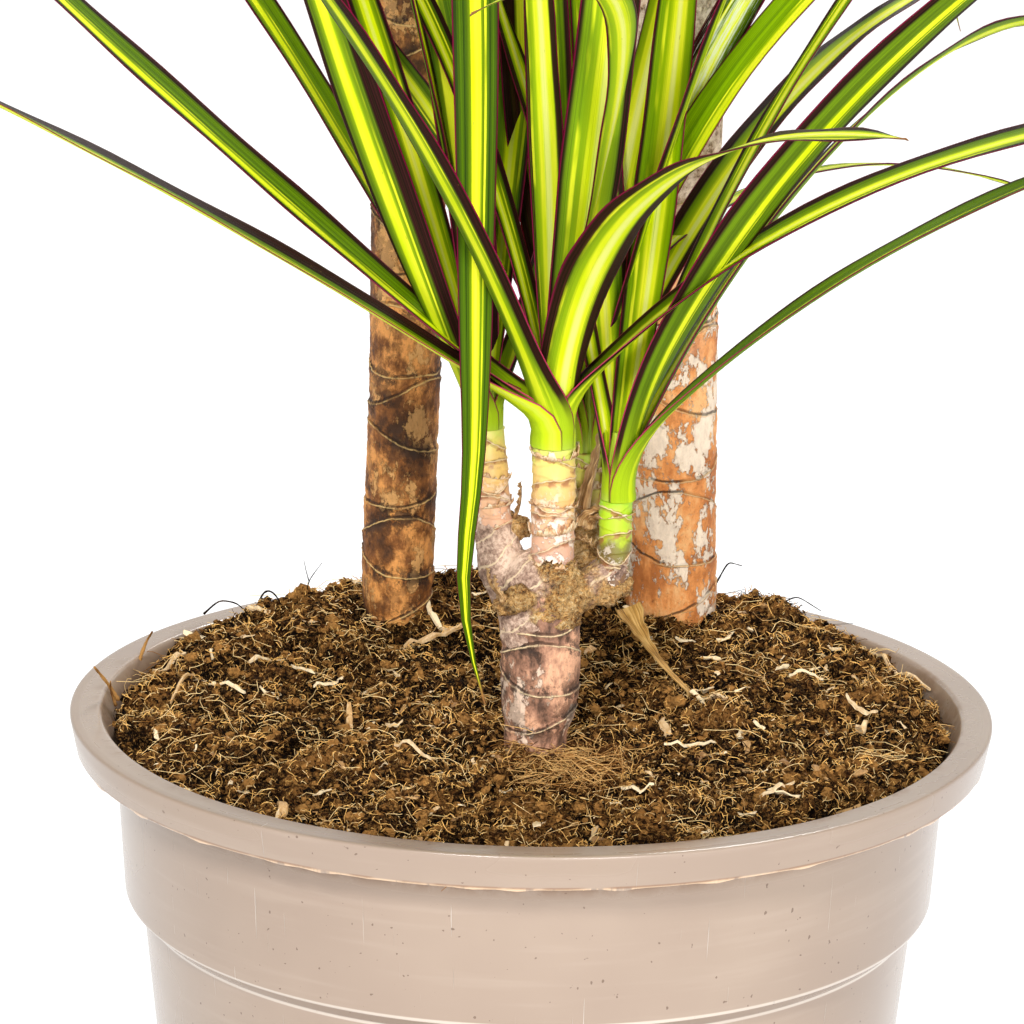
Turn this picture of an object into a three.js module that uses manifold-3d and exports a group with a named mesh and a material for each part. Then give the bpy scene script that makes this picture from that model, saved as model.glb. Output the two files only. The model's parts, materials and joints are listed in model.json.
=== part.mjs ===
// A potted dracaena: three canes of different heights in a stepped nursery pot of soil.
// Millimetres and degrees, +Z up, origin at the centre of the pot's flat base.
// Seen from the front (-Y side), the short cane with its four shoots stands before two tall canes.
import * as THREE from 'three';
import { mergeVertices } from 'three/addons/utils/BufferGeometryUtils.js';
import Module from 'manifold-3d';

const wasm = await Module();
wasm.setup();

// ---------------------------------------------------------------- driving dimensions

const gap = 0.3; // between pieces that rest on each other

const potHeight = 200;
const rimRadius = 105; // outer edge of the flat rim
const rimInner = 98;
const rimRound = 1.1; // rounding of the rim's outer edge
const skirtDepth = 8; // the skirt that hangs from the rim
const skirtRadius = 103.5; // outer radius at the skirt's foot
const skirtWall = 1.5;
const neckRadius = 94.6; // upper wall where it flares out to the rim
const neckBelowRim = 10;
const stepRadius = 92.6; // upper wall where it meets the step
const stepBelowRim = 42.3;
const lowerWallRadius = 88.7; // lower wall just under the step
const stepDepth = 3.5;
const baseRadius = 73.5;
const baseRound = 1.5;
const potWall = 1.6;
const turnDrop = 0.6; // the inner face turns this much lower than the outer one
const potSides = 48;
const drainHoles = 8;
const drainRadius = 5;
const drainCircle = 55;

const stepTop = potHeight - stepBelowRim;
const stepFoot = stepTop - stepDepth;

const soilFloor = potWall + gap;
const soilShoulder = 187; // up to here the soil follows the wall
const soilMiddle = 198.5; // surface height on the pot's axis
const soilTilt = 7; // the surface is this much higher at the back wall, and lower at the front
const soilMound = 4; // heap between the two tall canes
const moundPlace = [0, 68];
const moundReach = 30;
const soilLumps = 1.2;
const soilRings = 7;
const soilSides = 28;

const plantedDepth = 70;
const rootedInward = 0.82; // the planted end stands nearer the pot's axis than the cane at the surface
const nodeSpacing = 16; // between one leaf scar and the next on the tall canes
const scarHeight = 0.5;
const footSwell = 1.03; // the cane's radius at its foot and at its top, as shares of its middle
const topTaper = 0.95;
const caneSides = 12;

// A cane's sag: how far the middle of its line lies aside of the straight one, along +X.
const caneLeft = { foot: [-33, 58], head: [-30, 57], sag: 1, radius: 8.6, top: 500 };
const caneRight = { foot: [33.5, 66], head: [37, 64], sag: -4.4, radius: 11, top: 690 };
const tallCanes = [caneLeft, caneRight];

const stub = { foot: [1, -24], head: [1, -22], sag: 1, radius: 9.2, top: 234 };
const stubSteps = 14;
// Shoots of the short cane: where each leaves the stub, and its crown where the leaves begin.
const shoots = {
  middle: { from: [4, -24, 226], crown: [4, -24, 267], radius: 5.2, core: 5.4 },
  left: { from: [-4, -20, 232], elbow: [-12, -17, 240], crown: [-11, -16, 269], radius: 3.9, core: 4.2 },
  right: { from: [6, -22, 230], elbow: [17, -20, 233], crown: [18, -20, 254], radius: 3.8, core: 4.2 },
  back: { from: [6, -16, 228], elbow: [11, -8, 236], crown: [12, -5, 261], radius: 3.3, core: 3.8 },
};
// Corky knobs on the short cane: centre, and half sizes along X, Y and Z.
const knobs = [
  [[-7, -19, 238], [7, 6.5, 8]],
  [[6, -24, 236], [7.5, 6.5, 5]],
  [[14, -20, 234], [6, 5, 4.5]],
];

// ---------------------------------------------------------------- leaves
// A leaf leaves its shoot upright, leans out once past its clasping base, and droops along its length.
// heading: compass direction it grows in, 0 = +X, 90 = +Y. lean: angle from vertical past the base.
// droop: how much more it leans at the tip. sway: how far the heading turns. bend: where the droop
// sets in, below 1 near the base and above 1 near the tip. clasp: length of the base that hugs the
// shoot. rise: height of the root above the crown.

const leafDefaults = { droop: 20, length: 220, width: 12, sway: 0, bend: 1, clasp: 14, rise: 3 };
const hangingTilt = 176; // a leaf that has drooped this far hangs straight down
const leafSteps = 24;
const stepGrowth = 1.3; // steps are short at the base and long at the tip
const ringStride = 4; // a ring of points at every fourth step
const rootReach = 2.2; // from the shoot's axis to the root of a leaf
const rootLift = 0.5; // the roots sit this much above the foot of the packed leaf bases
const leafFold = 0.16; // height of the edges over the midrib, as a share of the width
const leafThickness = 0.9;
const tipWidth = 1.2;
const baseWidth = 0.45; // share of the full width at the root
const fullWidthAt = 0.3; // share of the length at which the leaf is widest
const tipSharpness = 3.2;
const coreTaper = 0.7;
const clearAngle = 15; // leaves are bent at least this far aside of a tall cane

const frontLeaves = {
  middle: [
    { heading: 192, lean: 54, droop: 14, length: 240, sway: -2, bend: 0.9, clasp: 10, rise: 1 },
    { heading: 174, lean: 52, droop: -6, length: 240, clasp: 7 },
    { heading: 234, lean: 29, droop: 26, length: 220, bend: 0.9, clasp: 11, rise: 2 },
    { heading: 150, lean: 12, droop: 40, length: 200, width: 10, rise: 6 },
    { heading: 290, lean: 20, droop: -15, length: 200, width: 15, clasp: 7, rise: 6 },
    { heading: 281, lean: 16, droop: 71, length: 170, width: 15, sway: 31, bend: 0.7, clasp: 10, rise: 4 },
    { heading: -5, lean: 34, droop: 66, length: 235, sway: -2, bend: 0.8, clasp: 18, rise: 2 },
    { heading: 65, lean: 38, droop: 77, length: 230, width: 8, sway: -30, bend: 0.6, clasp: 4, rise: 5 },
    { heading: 100, lean: 8, droop: 25, length: 190, width: 11, rise: 9 },
    { heading: 240, lean: 3, droop: 10, length: 150, width: 9, rise: 12 },
    { heading: 305, lean: 6, droop: 96, length: 205, width: 9, sway: -70, rise: 8 },
  ],
  left: [
    { heading: 214, lean: 26, droop: -11, length: 210, clasp: 4, rise: 1 },
    { heading: 165, lean: 26, droop: 22, length: 220, width: 11, clasp: 9 },
    { heading: 151, lean: 20, droop: 5, length: 210, width: 11, clasp: 15, rise: 4 },
    { heading: 29, lean: 22, droop: -19, length: 190, width: 10, clasp: 4 },
    { heading: 126, lean: 2, droop: 45, length: 200, rise: 5 },
    { heading: 75, lean: 10, droop: 30, length: 200, width: 11, rise: 8 },
    { heading: 180, lean: 8, droop: 12, length: 170, width: 9, rise: 11 },
  ],
  right: [
    { heading: 337, lean: 19, droop: 47, length: 240, width: 13, bend: 0.9, clasp: 46, rise: 1 },
    { heading: 343, lean: 38, droop: 48, length: 240, width: 11, bend: 0.9, clasp: 29, rise: 0 },
    { heading: 44, lean: 36, droop: 76, length: 250, width: 11, sway: 21, bend: 1.1 },
    { heading: 150, lean: 11, droop: 16, length: 150, width: 9, rise: 2 },
    { heading: 103, lean: 18, droop: 5, length: 190, width: 11, rise: 4 },
    { heading: 59, lean: 15, droop: -12, length: 190, rise: 5 },
    { heading: 10, lean: 16, droop: 30, length: 190, width: 10, rise: 8 },
  ],
  back: [
    { heading: 13, lean: 2, droop: 78, length: 220, width: 11, bend: 0.9 },
    { heading: 32, lean: 5, droop: 62, length: 220, bend: 0.9, rise: 5 },
    { heading: 56, lean: 8, droop: 34, length: 200, rise: 6 },
    { heading: 163, lean: 19, droop: -34, length: 200, width: 11, clasp: 17, rise: 5 },
    { heading: 100, lean: 20, droop: 40, length: 210, rise: 4 },
    { heading: 142, lean: 26, droop: 45, length: 200, width: 11, rise: 2 },
    { heading: 350, lean: 12, droop: 14, length: 190, width: 11, rise: 8 },
    { heading: 54, lean: 34, droop: 60, length: 210, width: 11, rise: 1 },
    { heading: 53, lean: 7, droop: 132, length: 268, width: 9, sway: 16, rise: 6 },
  ],
};
const shootCoreHeight = 18;

// Heads of the tall canes. Their leaves follow the golden angle round the shoot, young and upright
// in the middle, old and arching outside. The pairs below are [youngest leaf, oldest leaf].
const goldenAngle = 137.508;
const headLean = [5, 52];
const headDroop = [15, 78];
const headRise = [24, 1];
const headWidth = [0.8, 1];
const headBend = 1.2;
const shortest = 0.72; // the youngest and oldest leaves are this much shorter than the ones between
const headingSpread = 16; // how unevenly the leaves stand, in all
const leanSpread = 8;
const droopSpread = 20;
const headCoreHeight = 34;
const heads = {
  left: { cane: caneLeft, leaves: 36, start: 36, length: 270, width: 12, core: 6.5 },
  right: { cane: caneRight, leaves: 42, start: 87, length: 300, width: 12.5, core: 7.5 },
};
// The long old leaf of the left head that hangs down before the short cane.
const hangingLeaf = { heading: 280, lean: 110, droop: 81, length: 325, bend: 0.5, rise: 0 };

// Fallen dry leaf base, lying on the soil beside the short cane.
const dryLeaf = { heading: 141, lean: 62, droop: -20, length: 26, width: 11, clasp: 1, rise: 0 };
const dryLeafPlace = [38, 10];

const green = 0x6f9a1f;
const leafRoughness = 0.35;
const barkRoughness = 0.85;

// ---------------------------------------------------------------- geometry helpers

const radians = THREE.MathUtils.degToRad;
const mix = THREE.MathUtils.lerp;

function draw(seed) {
  const value = Math.sin(seed * 12.9898) * 43758.5453;
  return value - Math.floor(value);
}

// Closed body through rings of points. Blades have their quads split alike on both faces.
function loft(rings, isBlade = false) {
  const sides = rings[0].length;
  const positions = rings.flat().flatMap((point) => point.toArray());
  const index = [];
  for (let ring = 0; ring + 1 < rings.length; ring++) {
    for (let side = 0; side < sides; side++) {
      const a = ring * sides + side;
      const b = ring * sides + (side + 1) % sides;
      const c = a + sides;
      const d = b + sides;
      if (isBlade && side % 2 === 0) index.push(a, b, c, b, d, c);
      else index.push(a, b, d, a, d, c);
    }
  }
  const last = (rings.length - 1) * sides;
  for (let side = 1; side + 1 < sides; side++) {
    index.push(0, side + 1, side, last, last + side, last + side + 1);
  }
  const geometry = new THREE.BufferGeometry();
  geometry.setAttribute('position', new THREE.Float32BufferAttribute(positions, 3));
  geometry.setIndex(index);
  return geometry;
}

function toSolid(geometry) {
  const bare = geometry.clone();
  bare.deleteAttribute('normal');
  bare.deleteAttribute('uv');
  const merged = mergeVertices(bare, 1e-4);
  const vertProperties = new Float32Array(merged.attributes.position.array);
  const triVerts = new Uint32Array(merged.index.array);
  return new wasm.Manifold(new wasm.Mesh({ numProp: 3, vertProperties, triVerts }));
}

function toGeometry(solid) {
  const mesh = solid.getMesh();
  const geometry = new THREE.BufferGeometry();
  geometry.setAttribute('position', new THREE.Float32BufferAttribute(mesh.vertProperties, 3));
  geometry.setIndex(new THREE.BufferAttribute(mesh.triVerts, 1));
  geometry.computeVertexNormals();
  return geometry;
}

// One body of many: a hollow that fusing seals is filled, and a loose scrap is dropped.
function fuse(geometries) {
  const whole = geometries.map(toSolid).reduce((sum, next) => sum.add(next));
  const skins = whole.decompose();
  return toGeometry(skins.reduce((best, next) => (next.volume() > best.volume() ? next : best)));
}

function named(name, geometry, color, roughness) {
  const material = new THREE.MeshStandardMaterial({ color, roughness, metalness: 0 });
  const mesh = new THREE.Mesh(geometry, material);
  mesh.name = name;
  return mesh;
}

// Round bar along a curve, its radius set by radiusAt(share of the length, angle, step).
function bar(curve, radiusAt, steps, sides) {
  const rings = [];
  for (let step = 0; step <= steps; step++) {
    const share = step / steps;
    const middle = curve.getPointAt(share);
    const ring = [];
    for (let side = 0; side < sides; side++) {
      const angle = 2 * Math.PI * side / sides;
      const radius = radiusAt(share, angle, step);
      ring.push(new THREE.Vector3(Math.cos(angle) * radius, Math.sin(angle) * radius, 0).add(middle));
    }
    rings.push(ring);
  }
  return loft(rings);
}

// ---------------------------------------------------------------- pot and soil

// Inner face of the pot's wall, from the floor up: [radius, height].
const innerWall = [
  [baseRadius - potWall + 0.3, potWall],
  [lowerWallRadius - potWall, stepFoot - turnDrop],
  [stepRadius - potWall, stepTop - turnDrop],
  [neckRadius - potWall, potHeight - neckBelowRim - turnDrop],
  [rimInner - potWall + turnDrop, potHeight - potWall],
];

function potProfile() {
  const rimUnder = potHeight - potWall;
  const skirtFoot = potHeight - skirtDepth;
  const outside = [
    [0, 0],
    [baseRadius - baseRound, 0],
    [baseRadius, baseRound],
    [lowerWallRadius, stepFoot],
    [stepRadius, stepTop],
    [neckRadius, potHeight - neckBelowRim],
    [rimInner, rimUnder - 1],
    [skirtRadius - skirtWall + 0.4, rimUnder - 0.6],
    [skirtRadius - skirtWall, skirtFoot],
    [skirtRadius, skirtFoot],
    [rimRadius - 0.2, potHeight - rimRound],
    [rimRadius - rimRound, potHeight],
    [rimInner, potHeight],
  ];
  const inside = [...innerWall].reverse();
  return [...outside, ...inside, [0, potWall]].map(([radius, height]) => new THREE.Vector2(radius, height));
}

// Lathed bodies are turned about +Y, then stood up along +Z.
function lathe(profile, sides) {
  return new THREE.LatheGeometry(profile, sides).rotateX(Math.PI / 2);
}

function makePot() {
  let pot = toSolid(lathe(potProfile(), potSides));
  for (let hole = 0; hole < drainHoles; hole++) {
    const angle = 2 * Math.PI * (hole + 0.5) / drainHoles;
    const cutter = new THREE.CylinderGeometry(drainRadius, drainRadius, 4 * potWall, 12).rotateX(Math.PI / 2);
    cutter.translate(Math.cos(angle) * drainCircle, Math.sin(angle) * drainCircle, potWall / 2);
    pot = pot.subtract(toSolid(cutter));
  }
  return named('pot', toGeometry(pot), 0xa8978a, 0.35);
}

// Radius of the soil where it lies against the wall at a height.
function soilRadius(height) {
  const above = innerWall.findIndex(([, wallHeight]) => height <= wallHeight);
  const [lowRadius, low] = innerWall[above - 1];
  const [highRadius, high] = innerWall[above];
  return mix(lowRadius, highRadius, (height - low) / (high - low)) - 2 * gap;
}

function soilHeight(x, y) {
  const wallRadius = neckRadius - potWall;
  const tilt = soilTilt * y / wallRadius;
  const away = Math.hypot(x - moundPlace[0], y - moundPlace[1]);
  const mound = soilMound * Math.exp(-((away / moundReach) ** 2));
  const broadLumps = Math.sin(x * 0.17 + 1) * Math.cos(y * 0.21);
  const smallLumps = Math.sin(x * 0.31 - y * 0.27) * 0.6;
  const edge = Math.max(0, Math.hypot(x, y) / wallRadius - 0.86) / 0.14;
  const sunkEdge = edge * edge * (y > 0 ? 3 : 1.2);
  return soilMiddle + tilt + mound + soilLumps * (broadLumps + smallLumps) - sunkEdge;
}

function soilBody() {
  const wallHeights = [soilFloor, stepFoot - turnDrop, stepTop - turnDrop, soilShoulder];
  const atWall = wallHeights.map(() => []);
  const surface = Array.from({ length: soilRings }, () => []);
  for (let side = 0; side < soilSides; side++) {
    const angle = 2 * Math.PI * side / soilSides;
    const along = new THREE.Vector3(Math.cos(angle), Math.sin(angle), 0);
    wallHeights.forEach((height, level) => {
      atWall[level].push(along.clone().multiplyScalar(soilRadius(height)).setZ(height));
    });
    surface.forEach((ring, number) => {
      const point = along.clone().multiplyScalar(soilRadius(soilShoulder) * (1 - number / soilRings));
      ring.push(point.setZ(soilHeight(point.x, point.y)));
    });
  }
  return loft([...atWall, ...surface]);
}

function makeSoil(plugs) {
  let soil = toSolid(soilBody());
  for (const plug of plugs) soil = soil.subtract(toSolid(plug));
  return named('soil', toGeometry(soil), 0x4a2f1c, 1);
}

// ---------------------------------------------------------------- canes

// A cane's line, which sags a little sideways above the soil.
function caneCurve({ foot, head, top, sag }, depth = plantedDepth) {
  const start = new THREE.Vector3(...foot, 0).multiplyScalar(rootedInward).setZ(potHeight - depth);
  const soilLine = new THREE.Vector3(...foot, potHeight);
  const end = new THREE.Vector3(...head, top);
  const middle = soilLine.clone().lerp(end, 0.5).add(new THREE.Vector3(sag, 0, 0));
  return new THREE.CatmullRomCurve3([start, soilLine, middle, end]);
}

// Bark: each leaf scar is a low uneven ridge, on every second ring of points.
function barkRadius(radius, steps) {
  return (share, angle, step) => {
    const isScar = step % 2 === 1 && step < steps;
    const ridge = isScar ? 0.6 + 0.4 * Math.sin(angle + step) : -0.1;
    return radius * mix(footSwell, topTaper, share) + scarHeight * ridge;
  };
}

function makeCane(name, cane, color) {
  const curve = caneCurve(cane);
  const steps = 2 * Math.round(curve.getLength() / nodeSpacing);
  const bark = bar(curve, barkRadius(cane.radius, steps), steps, caneSides);
  return named(name, bark, color, barkRoughness);
}

// Plain hole in the soil round a planted cane.
function plantingHole(cane) {
  const clearance = cane.radius * footSwell + scarHeight + 2 * gap;
  return bar(caneCurve(cane, plantedDepth + gap), () => clearance, 16, 16);
}

function knob([centre, halfSizes], number) {
  const ball = new THREE.SphereGeometry(1, 8, 6);
  const place = ball.attributes.position;
  for (let point = 0; point < place.count; point++) {
    const along = new THREE.Vector3().fromBufferAttribute(place, point);
    const bump = 1 + 0.08 * Math.sin(5 * along.x + 3 * number) * Math.cos(4 * along.z + 5 * along.y);
    place.setXYZ(point, ...along.multiplyScalar(bump).toArray());
  }
  return ball.scale(...halfSizes).translate(...centre);
}

function shootCurve({ from, elbow, crown }) {
  const points = [from, elbow, crown].filter(Boolean).map((point) => new THREE.Vector3(...point));
  return new THREE.CatmullRomCurve3(points);
}

function makeShortCane() {
  const pieces = [bar(caneCurve(stub), barkRadius(stub.radius, stubSteps), stubSteps, caneSides)];
  for (const shoot of Object.values(shoots)) {
    const ringed = (share, angle, step) => shoot.radius + (step % 2 && step < 6 ? 0.25 : -0.1);
    pieces.push(bar(shootCurve(shoot), ringed, 6, 8));
  }
  knobs.forEach((shape, number) => pieces.push(knob(shape, number)));
  return named('cane_short', fuse(pieces), 0x9a7868, barkRoughness);
}

// ---------------------------------------------------------------- blades

// A leaf that heads for a tall cane is turned aside of it.
function bentClear(root, heading, ownCane) {
  for (const cane of tallCanes) {
    if (cane === ownCane || root.z > cane.top) continue;
    const toCane = THREE.MathUtils.radToDeg(Math.atan2(cane.foot[1] - root.y, cane.foot[0] - root.x));
    const off = THREE.MathUtils.euclideanModulo(heading - toCane + 180, 360) - 180;
    if (Math.abs(off) < clearAngle) return toCane + Math.sign(off || 1) * clearAngle;
  }
  return heading;
}

function widthShare(share) {
  const opening = Math.min(1, baseWidth + (1 - baseWidth) * share / fullWidthAt);
  return opening * Math.max(0, 1 - share ** tipSharpness);
}

// The leaf's line is followed in fine steps, with a ring of points at every ringStride-th one.
function blade(crown, leaf) {
  const { heading, lean, droop, length, width, sway, bend, clasp, rise } = { ...leafDefaults, ...leaf };
  const outward = new THREE.Vector3(Math.cos(radians(heading)), Math.sin(radians(heading)), 0);
  const place = new THREE.Vector3(...crown).addScaledVector(outward, rootReach);
  place.z += gap + rootLift + rise;
  const rings = [];
  for (let step = 0; step <= leafSteps; step++) {
    const share = (step / leafSteps) ** stepGrowth;
    const before = (Math.max(0, step - 1) / leafSteps) ** stepGrowth;
    const half = (share + before) / 2;
    const opened = 1 - (1 - Math.min(1, half * length / clasp)) ** 2;
    const tilt = radians(Math.min(lean * opened + droop * half ** bend, hangingTilt));
    const turn = radians(heading + sway * half);
    const level = new THREE.Vector3(Math.cos(turn), Math.sin(turn), 0);
    const along = level.multiplyScalar(Math.sin(tilt)).setZ(Math.cos(tilt));
    place.addScaledVector(along, length * (share - before));
    if (step % ringStride) continue;
    const across = new THREE.Vector3(-Math.sin(turn), Math.cos(turn), 0);
    const up = new THREE.Vector3().crossVectors(along, across);
    const wide = Math.max(tipWidth, width * widthShare(share)) / 2;
    const lift = wide * 2 * leafFold * (1 - share);
    rings.push([
      place.clone().addScaledVector(across, wide).addScaledVector(up, lift),
      place.clone().addScaledVector(up, leafThickness / 2),
      place.clone().addScaledVector(across, -wide).addScaledVector(up, lift),
      place.clone().addScaledVector(up, -leafThickness / 2),
    ]);
  }
  return loft(rings, true);
}

// The packed leaf bases at a crown, tapering upwards.
function crownCore([x, y, z], radius, height) {
  const core = new THREE.CylinderGeometry(radius * coreTaper, radius, height, 8).rotateX(Math.PI / 2);
  return core.translate(x, y, z + gap + height / 2);
}

function makeFrontLeaves() {
  const pieces = [];
  for (const [name, leaves] of Object.entries(frontLeaves)) {
    const { crown, core } = shoots[name];
    pieces.push(crownCore(crown, core, shootCoreHeight));
    for (const leaf of leaves) pieces.push(blade(crown, leaf));
  }
  return named('leaves_short_cane', fuse(pieces), green, leafRoughness);
}

function headLeaves({ cane, leaves, start, length, width }) {
  const root = new THREE.Vector3(...cane.head, cane.top);
  return Array.from({ length: leaves }, (_, number) => {
    const age = (number + 0.5) / leaves;
    const seed = number + start;
    const fullness = Math.sin(Math.PI * Math.min(1, age + 0.2) / 1.4);
    const heading = start + number * goldenAngle + headingSpread * (draw(seed) - 0.5);
    return {
      heading: bentClear(root, heading, cane),
      lean: mix(...headLean, age) + leanSpread * (draw(seed + 40) - 0.5),
      droop: mix(...headDroop, age) + droopSpread * (draw(seed + 80) - 0.5),
      length: length * mix(shortest, 1, fullness),
      width: width * mix(...headWidth, age),
      rise: mix(...headRise, age),
      bend: headBend,
    };
  });
}

function makeHead(name, head, extraLeaves) {
  const crown = [...head.cane.head, head.cane.top];
  const pieces = [crownCore(crown, head.core, headCoreHeight)];
  for (const leaf of [...headLeaves(head), ...extraLeaves]) pieces.push(blade(crown, leaf));
  return named(name, fuse(pieces), green, leafRoughness);
}

function makeDryLeaf() {
  const [x, y] = dryLeafPlace;
  const leaf = blade([x, y, soilHeight(x, y) + gap], dryLeaf);
  return named('dry_leaf', leaf, 0x9a8443, 0.7);
}

// ---------------------------------------------------------------- the plant in its pot

const group = new THREE.Group();
group.add(makePot());
group.add(makeSoil([plantingHole(caneLeft), plantingHole(caneRight), plantingHole(stub)]));
group.add(makeCane('cane_left', caneLeft, 0x8c6240));
group.add(makeCane('cane_right', caneRight, 0xb07850));
group.add(makeShortCane());
group.add(makeFrontLeaves());
group.add(makeHead('leaves_left_cane', heads.left, [hangingLeaf]));
group.add(makeHead('leaves_right_cane', heads.right, []));
group.add(makeDryLeaf());

export default group;
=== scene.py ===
# %% [markdown]
# # A potted dracaena
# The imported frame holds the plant's solids at their real size: a pot, its soil, three canes and the
# leaf heads. This lesson dresses each of them. It keeps every piece where its solid is, so the first
# step loads the frame and notes its box, which the finished plant is compared with at the end.

# %% The frame
import json
import math

import bmesh
import bpy
import numpy as np
from mathutils import Matrix, Vector, noise

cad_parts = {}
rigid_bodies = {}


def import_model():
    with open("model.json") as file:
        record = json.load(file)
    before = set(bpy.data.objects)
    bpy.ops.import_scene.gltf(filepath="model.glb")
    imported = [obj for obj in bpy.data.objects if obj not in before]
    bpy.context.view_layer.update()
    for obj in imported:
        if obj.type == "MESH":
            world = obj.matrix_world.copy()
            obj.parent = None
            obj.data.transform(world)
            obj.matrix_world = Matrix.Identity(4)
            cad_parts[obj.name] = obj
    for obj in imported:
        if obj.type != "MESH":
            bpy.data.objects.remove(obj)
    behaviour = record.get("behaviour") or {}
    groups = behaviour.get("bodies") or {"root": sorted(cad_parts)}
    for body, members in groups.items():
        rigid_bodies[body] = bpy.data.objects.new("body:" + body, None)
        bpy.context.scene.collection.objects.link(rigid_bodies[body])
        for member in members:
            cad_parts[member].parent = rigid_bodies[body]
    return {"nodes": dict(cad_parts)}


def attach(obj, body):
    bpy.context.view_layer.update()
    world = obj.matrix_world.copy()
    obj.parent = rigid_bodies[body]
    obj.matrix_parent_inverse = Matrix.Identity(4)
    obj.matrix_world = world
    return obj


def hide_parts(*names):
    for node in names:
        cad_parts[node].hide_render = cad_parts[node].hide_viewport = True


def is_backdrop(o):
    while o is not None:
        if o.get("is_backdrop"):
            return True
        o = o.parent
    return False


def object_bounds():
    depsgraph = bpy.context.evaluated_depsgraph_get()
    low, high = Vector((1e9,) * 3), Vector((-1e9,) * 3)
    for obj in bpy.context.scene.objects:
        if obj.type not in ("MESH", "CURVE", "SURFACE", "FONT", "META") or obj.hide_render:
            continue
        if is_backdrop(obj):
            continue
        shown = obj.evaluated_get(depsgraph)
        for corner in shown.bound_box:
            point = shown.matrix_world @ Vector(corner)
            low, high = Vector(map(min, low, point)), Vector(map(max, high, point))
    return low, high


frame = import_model()
cad_box = [list(corner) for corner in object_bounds()]
print("frame:", ", ".join(sorted(frame["nodes"])))
print("box in mm:", [[round(1000 * c) for c in corner] for corner in cad_box])

# %% [markdown]
# ## Working in millimetres
# A plant is easier to think about in millimetres and Blender works in metres, so the points of every
# piece are worked out in millimetres and shrunk once, when they become a mesh. Each object then sits
# at the origin, unturned, with its place in its mesh.

# %% From points to pieces
MM = 0.001
TURN = 2 * math.pi


def placed(name, data):
    """An object that shows this data, put in the scene."""
    thing = bpy.data.objects.new(name, data)
    bpy.context.scene.collection.objects.link(thing)
    return thing


def mesh_object(name, points, faces, smooth=True):
    mesh = bpy.data.meshes.new(name)
    mesh.from_pydata((np.asarray(points, float) * MM).tolist(), [], [list(face) for face in faces])
    mesh.validate()
    mesh.polygons.foreach_set("use_smooth", [smooth] * len(mesh.polygons))
    return placed(name, mesh)


def apply_modifiers(thing, **options):
    """Keeps what an object's modifiers make of it as its plain mesh."""
    thing.update_tag()
    depsgraph = bpy.context.evaluated_depsgraph_get()
    made = thing.evaluated_get(depsgraph)
    thing.data = bpy.data.meshes.new_from_object(made, depsgraph=depsgraph, **options)
    thing.data.name = thing.name
    thing.modifiers.clear()
    return thing


def join(name, things):
    """One object of several, named plainly."""
    with bpy.context.temp_override(active_object=things[0], selected_editable_objects=things):
        bpy.ops.object.join()
    things[0].name = things[0].data.name = name
    return things[0]


def report(thing):
    """Prints a piece's triangles, its size, and its volume, which shows whether its faces point out."""
    shape = bmesh.new()
    shape.from_mesh(thing.data)
    volume = shape.calc_volume(signed=True) / MM**3
    shape.free()
    thing.data.calc_loop_triangles()
    size = [round(edge / MM) for edge in thing.dimensions]
    print(f"{thing.name}: {len(thing.data.loop_triangles)} triangles, {size} mm, {volume:.0f} mm3")


def settle(thing, slot, *nodes, finish=None):
    """The finished piece rides with the plant, takes the finish that is given and stands for nodes. The slot
    is not used.
    """
    if finish:
        thing.data.materials.append(finish)
    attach(thing, "root")
    if nodes:
        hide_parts(*nodes)
    report(thing)


def write(thing, name, values):
    """Keeps a number or a vector for each point of a piece."""
    values = np.asarray(values, np.float32)
    kind, field = ("FLOAT_VECTOR", "vector") if values.ndim == 2 else ("FLOAT", "value")
    thing.data.attributes.new(name, kind, "POINT").data.foreach_set(field, values.ravel())


def draw(seed):
    """The plant's own dice: the same number between 0 and 1 for the same seed."""
    value = math.sin(seed * 12.9898) * 43758.5453
    return value - math.floor(value)


def mix(low, high, share):
    return low + (high - low) * share


# %% Rings, and closed tubes through them
def angles(sides):
    return np.linspace(0, TURN, sides, endpoint=False)


def ring_of(middle, radius, angle, level):
    """Points round a middle. The radius and the level may differ from angle to angle."""
    level = np.broadcast_to(level, angle.shape)
    return np.stack([middle[0] + radius * np.cos(angle), middle[1] + radius * np.sin(angle), level], -1)


def tube(name, rings, heights, smooth=True):
    """Closed body through rings of points. Its UV map holds turns round it and height in metres."""
    rings = np.asarray(rings, float)
    count, sides = rings.shape[:2]
    index = np.arange(count * sides).reshape(count, sides)
    beside = np.roll(index, -1, axis=1)
    quads = np.stack([index[:-1], beside[:-1], beside[1:], index[1:]], -1).reshape(-1, 4).tolist()
    thing = mesh_object(name, rings.reshape(-1, 3), quads + [index[0][::-1], index[-1]], smooth)
    side = np.tile(np.arange(sides), count - 1)
    low = np.repeat(np.asarray(heights[:-1], float), sides)
    high = np.repeat(np.asarray(heights[1:], float), sides)
    around = np.stack([side, side + 1, side + 1, side], -1) / sides
    along = np.stack([low, low, high, high], -1) * MM
    ends = np.concatenate([np.full(sides, heights[0]), np.full(sides, heights[-1])]) * MM
    caps = np.stack([np.tile(np.arange(sides) / sides, 2), ends], -1)
    uv = np.concatenate([np.stack([around, along], -1).reshape(-1, 2), caps])
    layer = thing.data.uv_layers.new(name="UVMap")
    layer.data.foreach_set("uv", uv.astype(np.float32).ravel())
    return thing


# %% [markdown]
# ## Node trees written as sums
# Both materials and Geometry Nodes are graphs of small nodes. Wiring them by hand takes dozens of
# lines, so one class wraps a socket and overloads Python's operators: `1 - mask` adds a Math node and
# returns its result. One more method adds any other node, with its settings made first.


# %% A socket that does sums
def operator(operation):
    """Two methods that add an operation's node: one for a + b, and its reflected form."""

    def forward(self, other):
        return self.graph.sum_of(operation, self, other)

    def reflected(self, other):
        return self.graph.sum_of(operation, other, self)

    return forward, reflected


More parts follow.
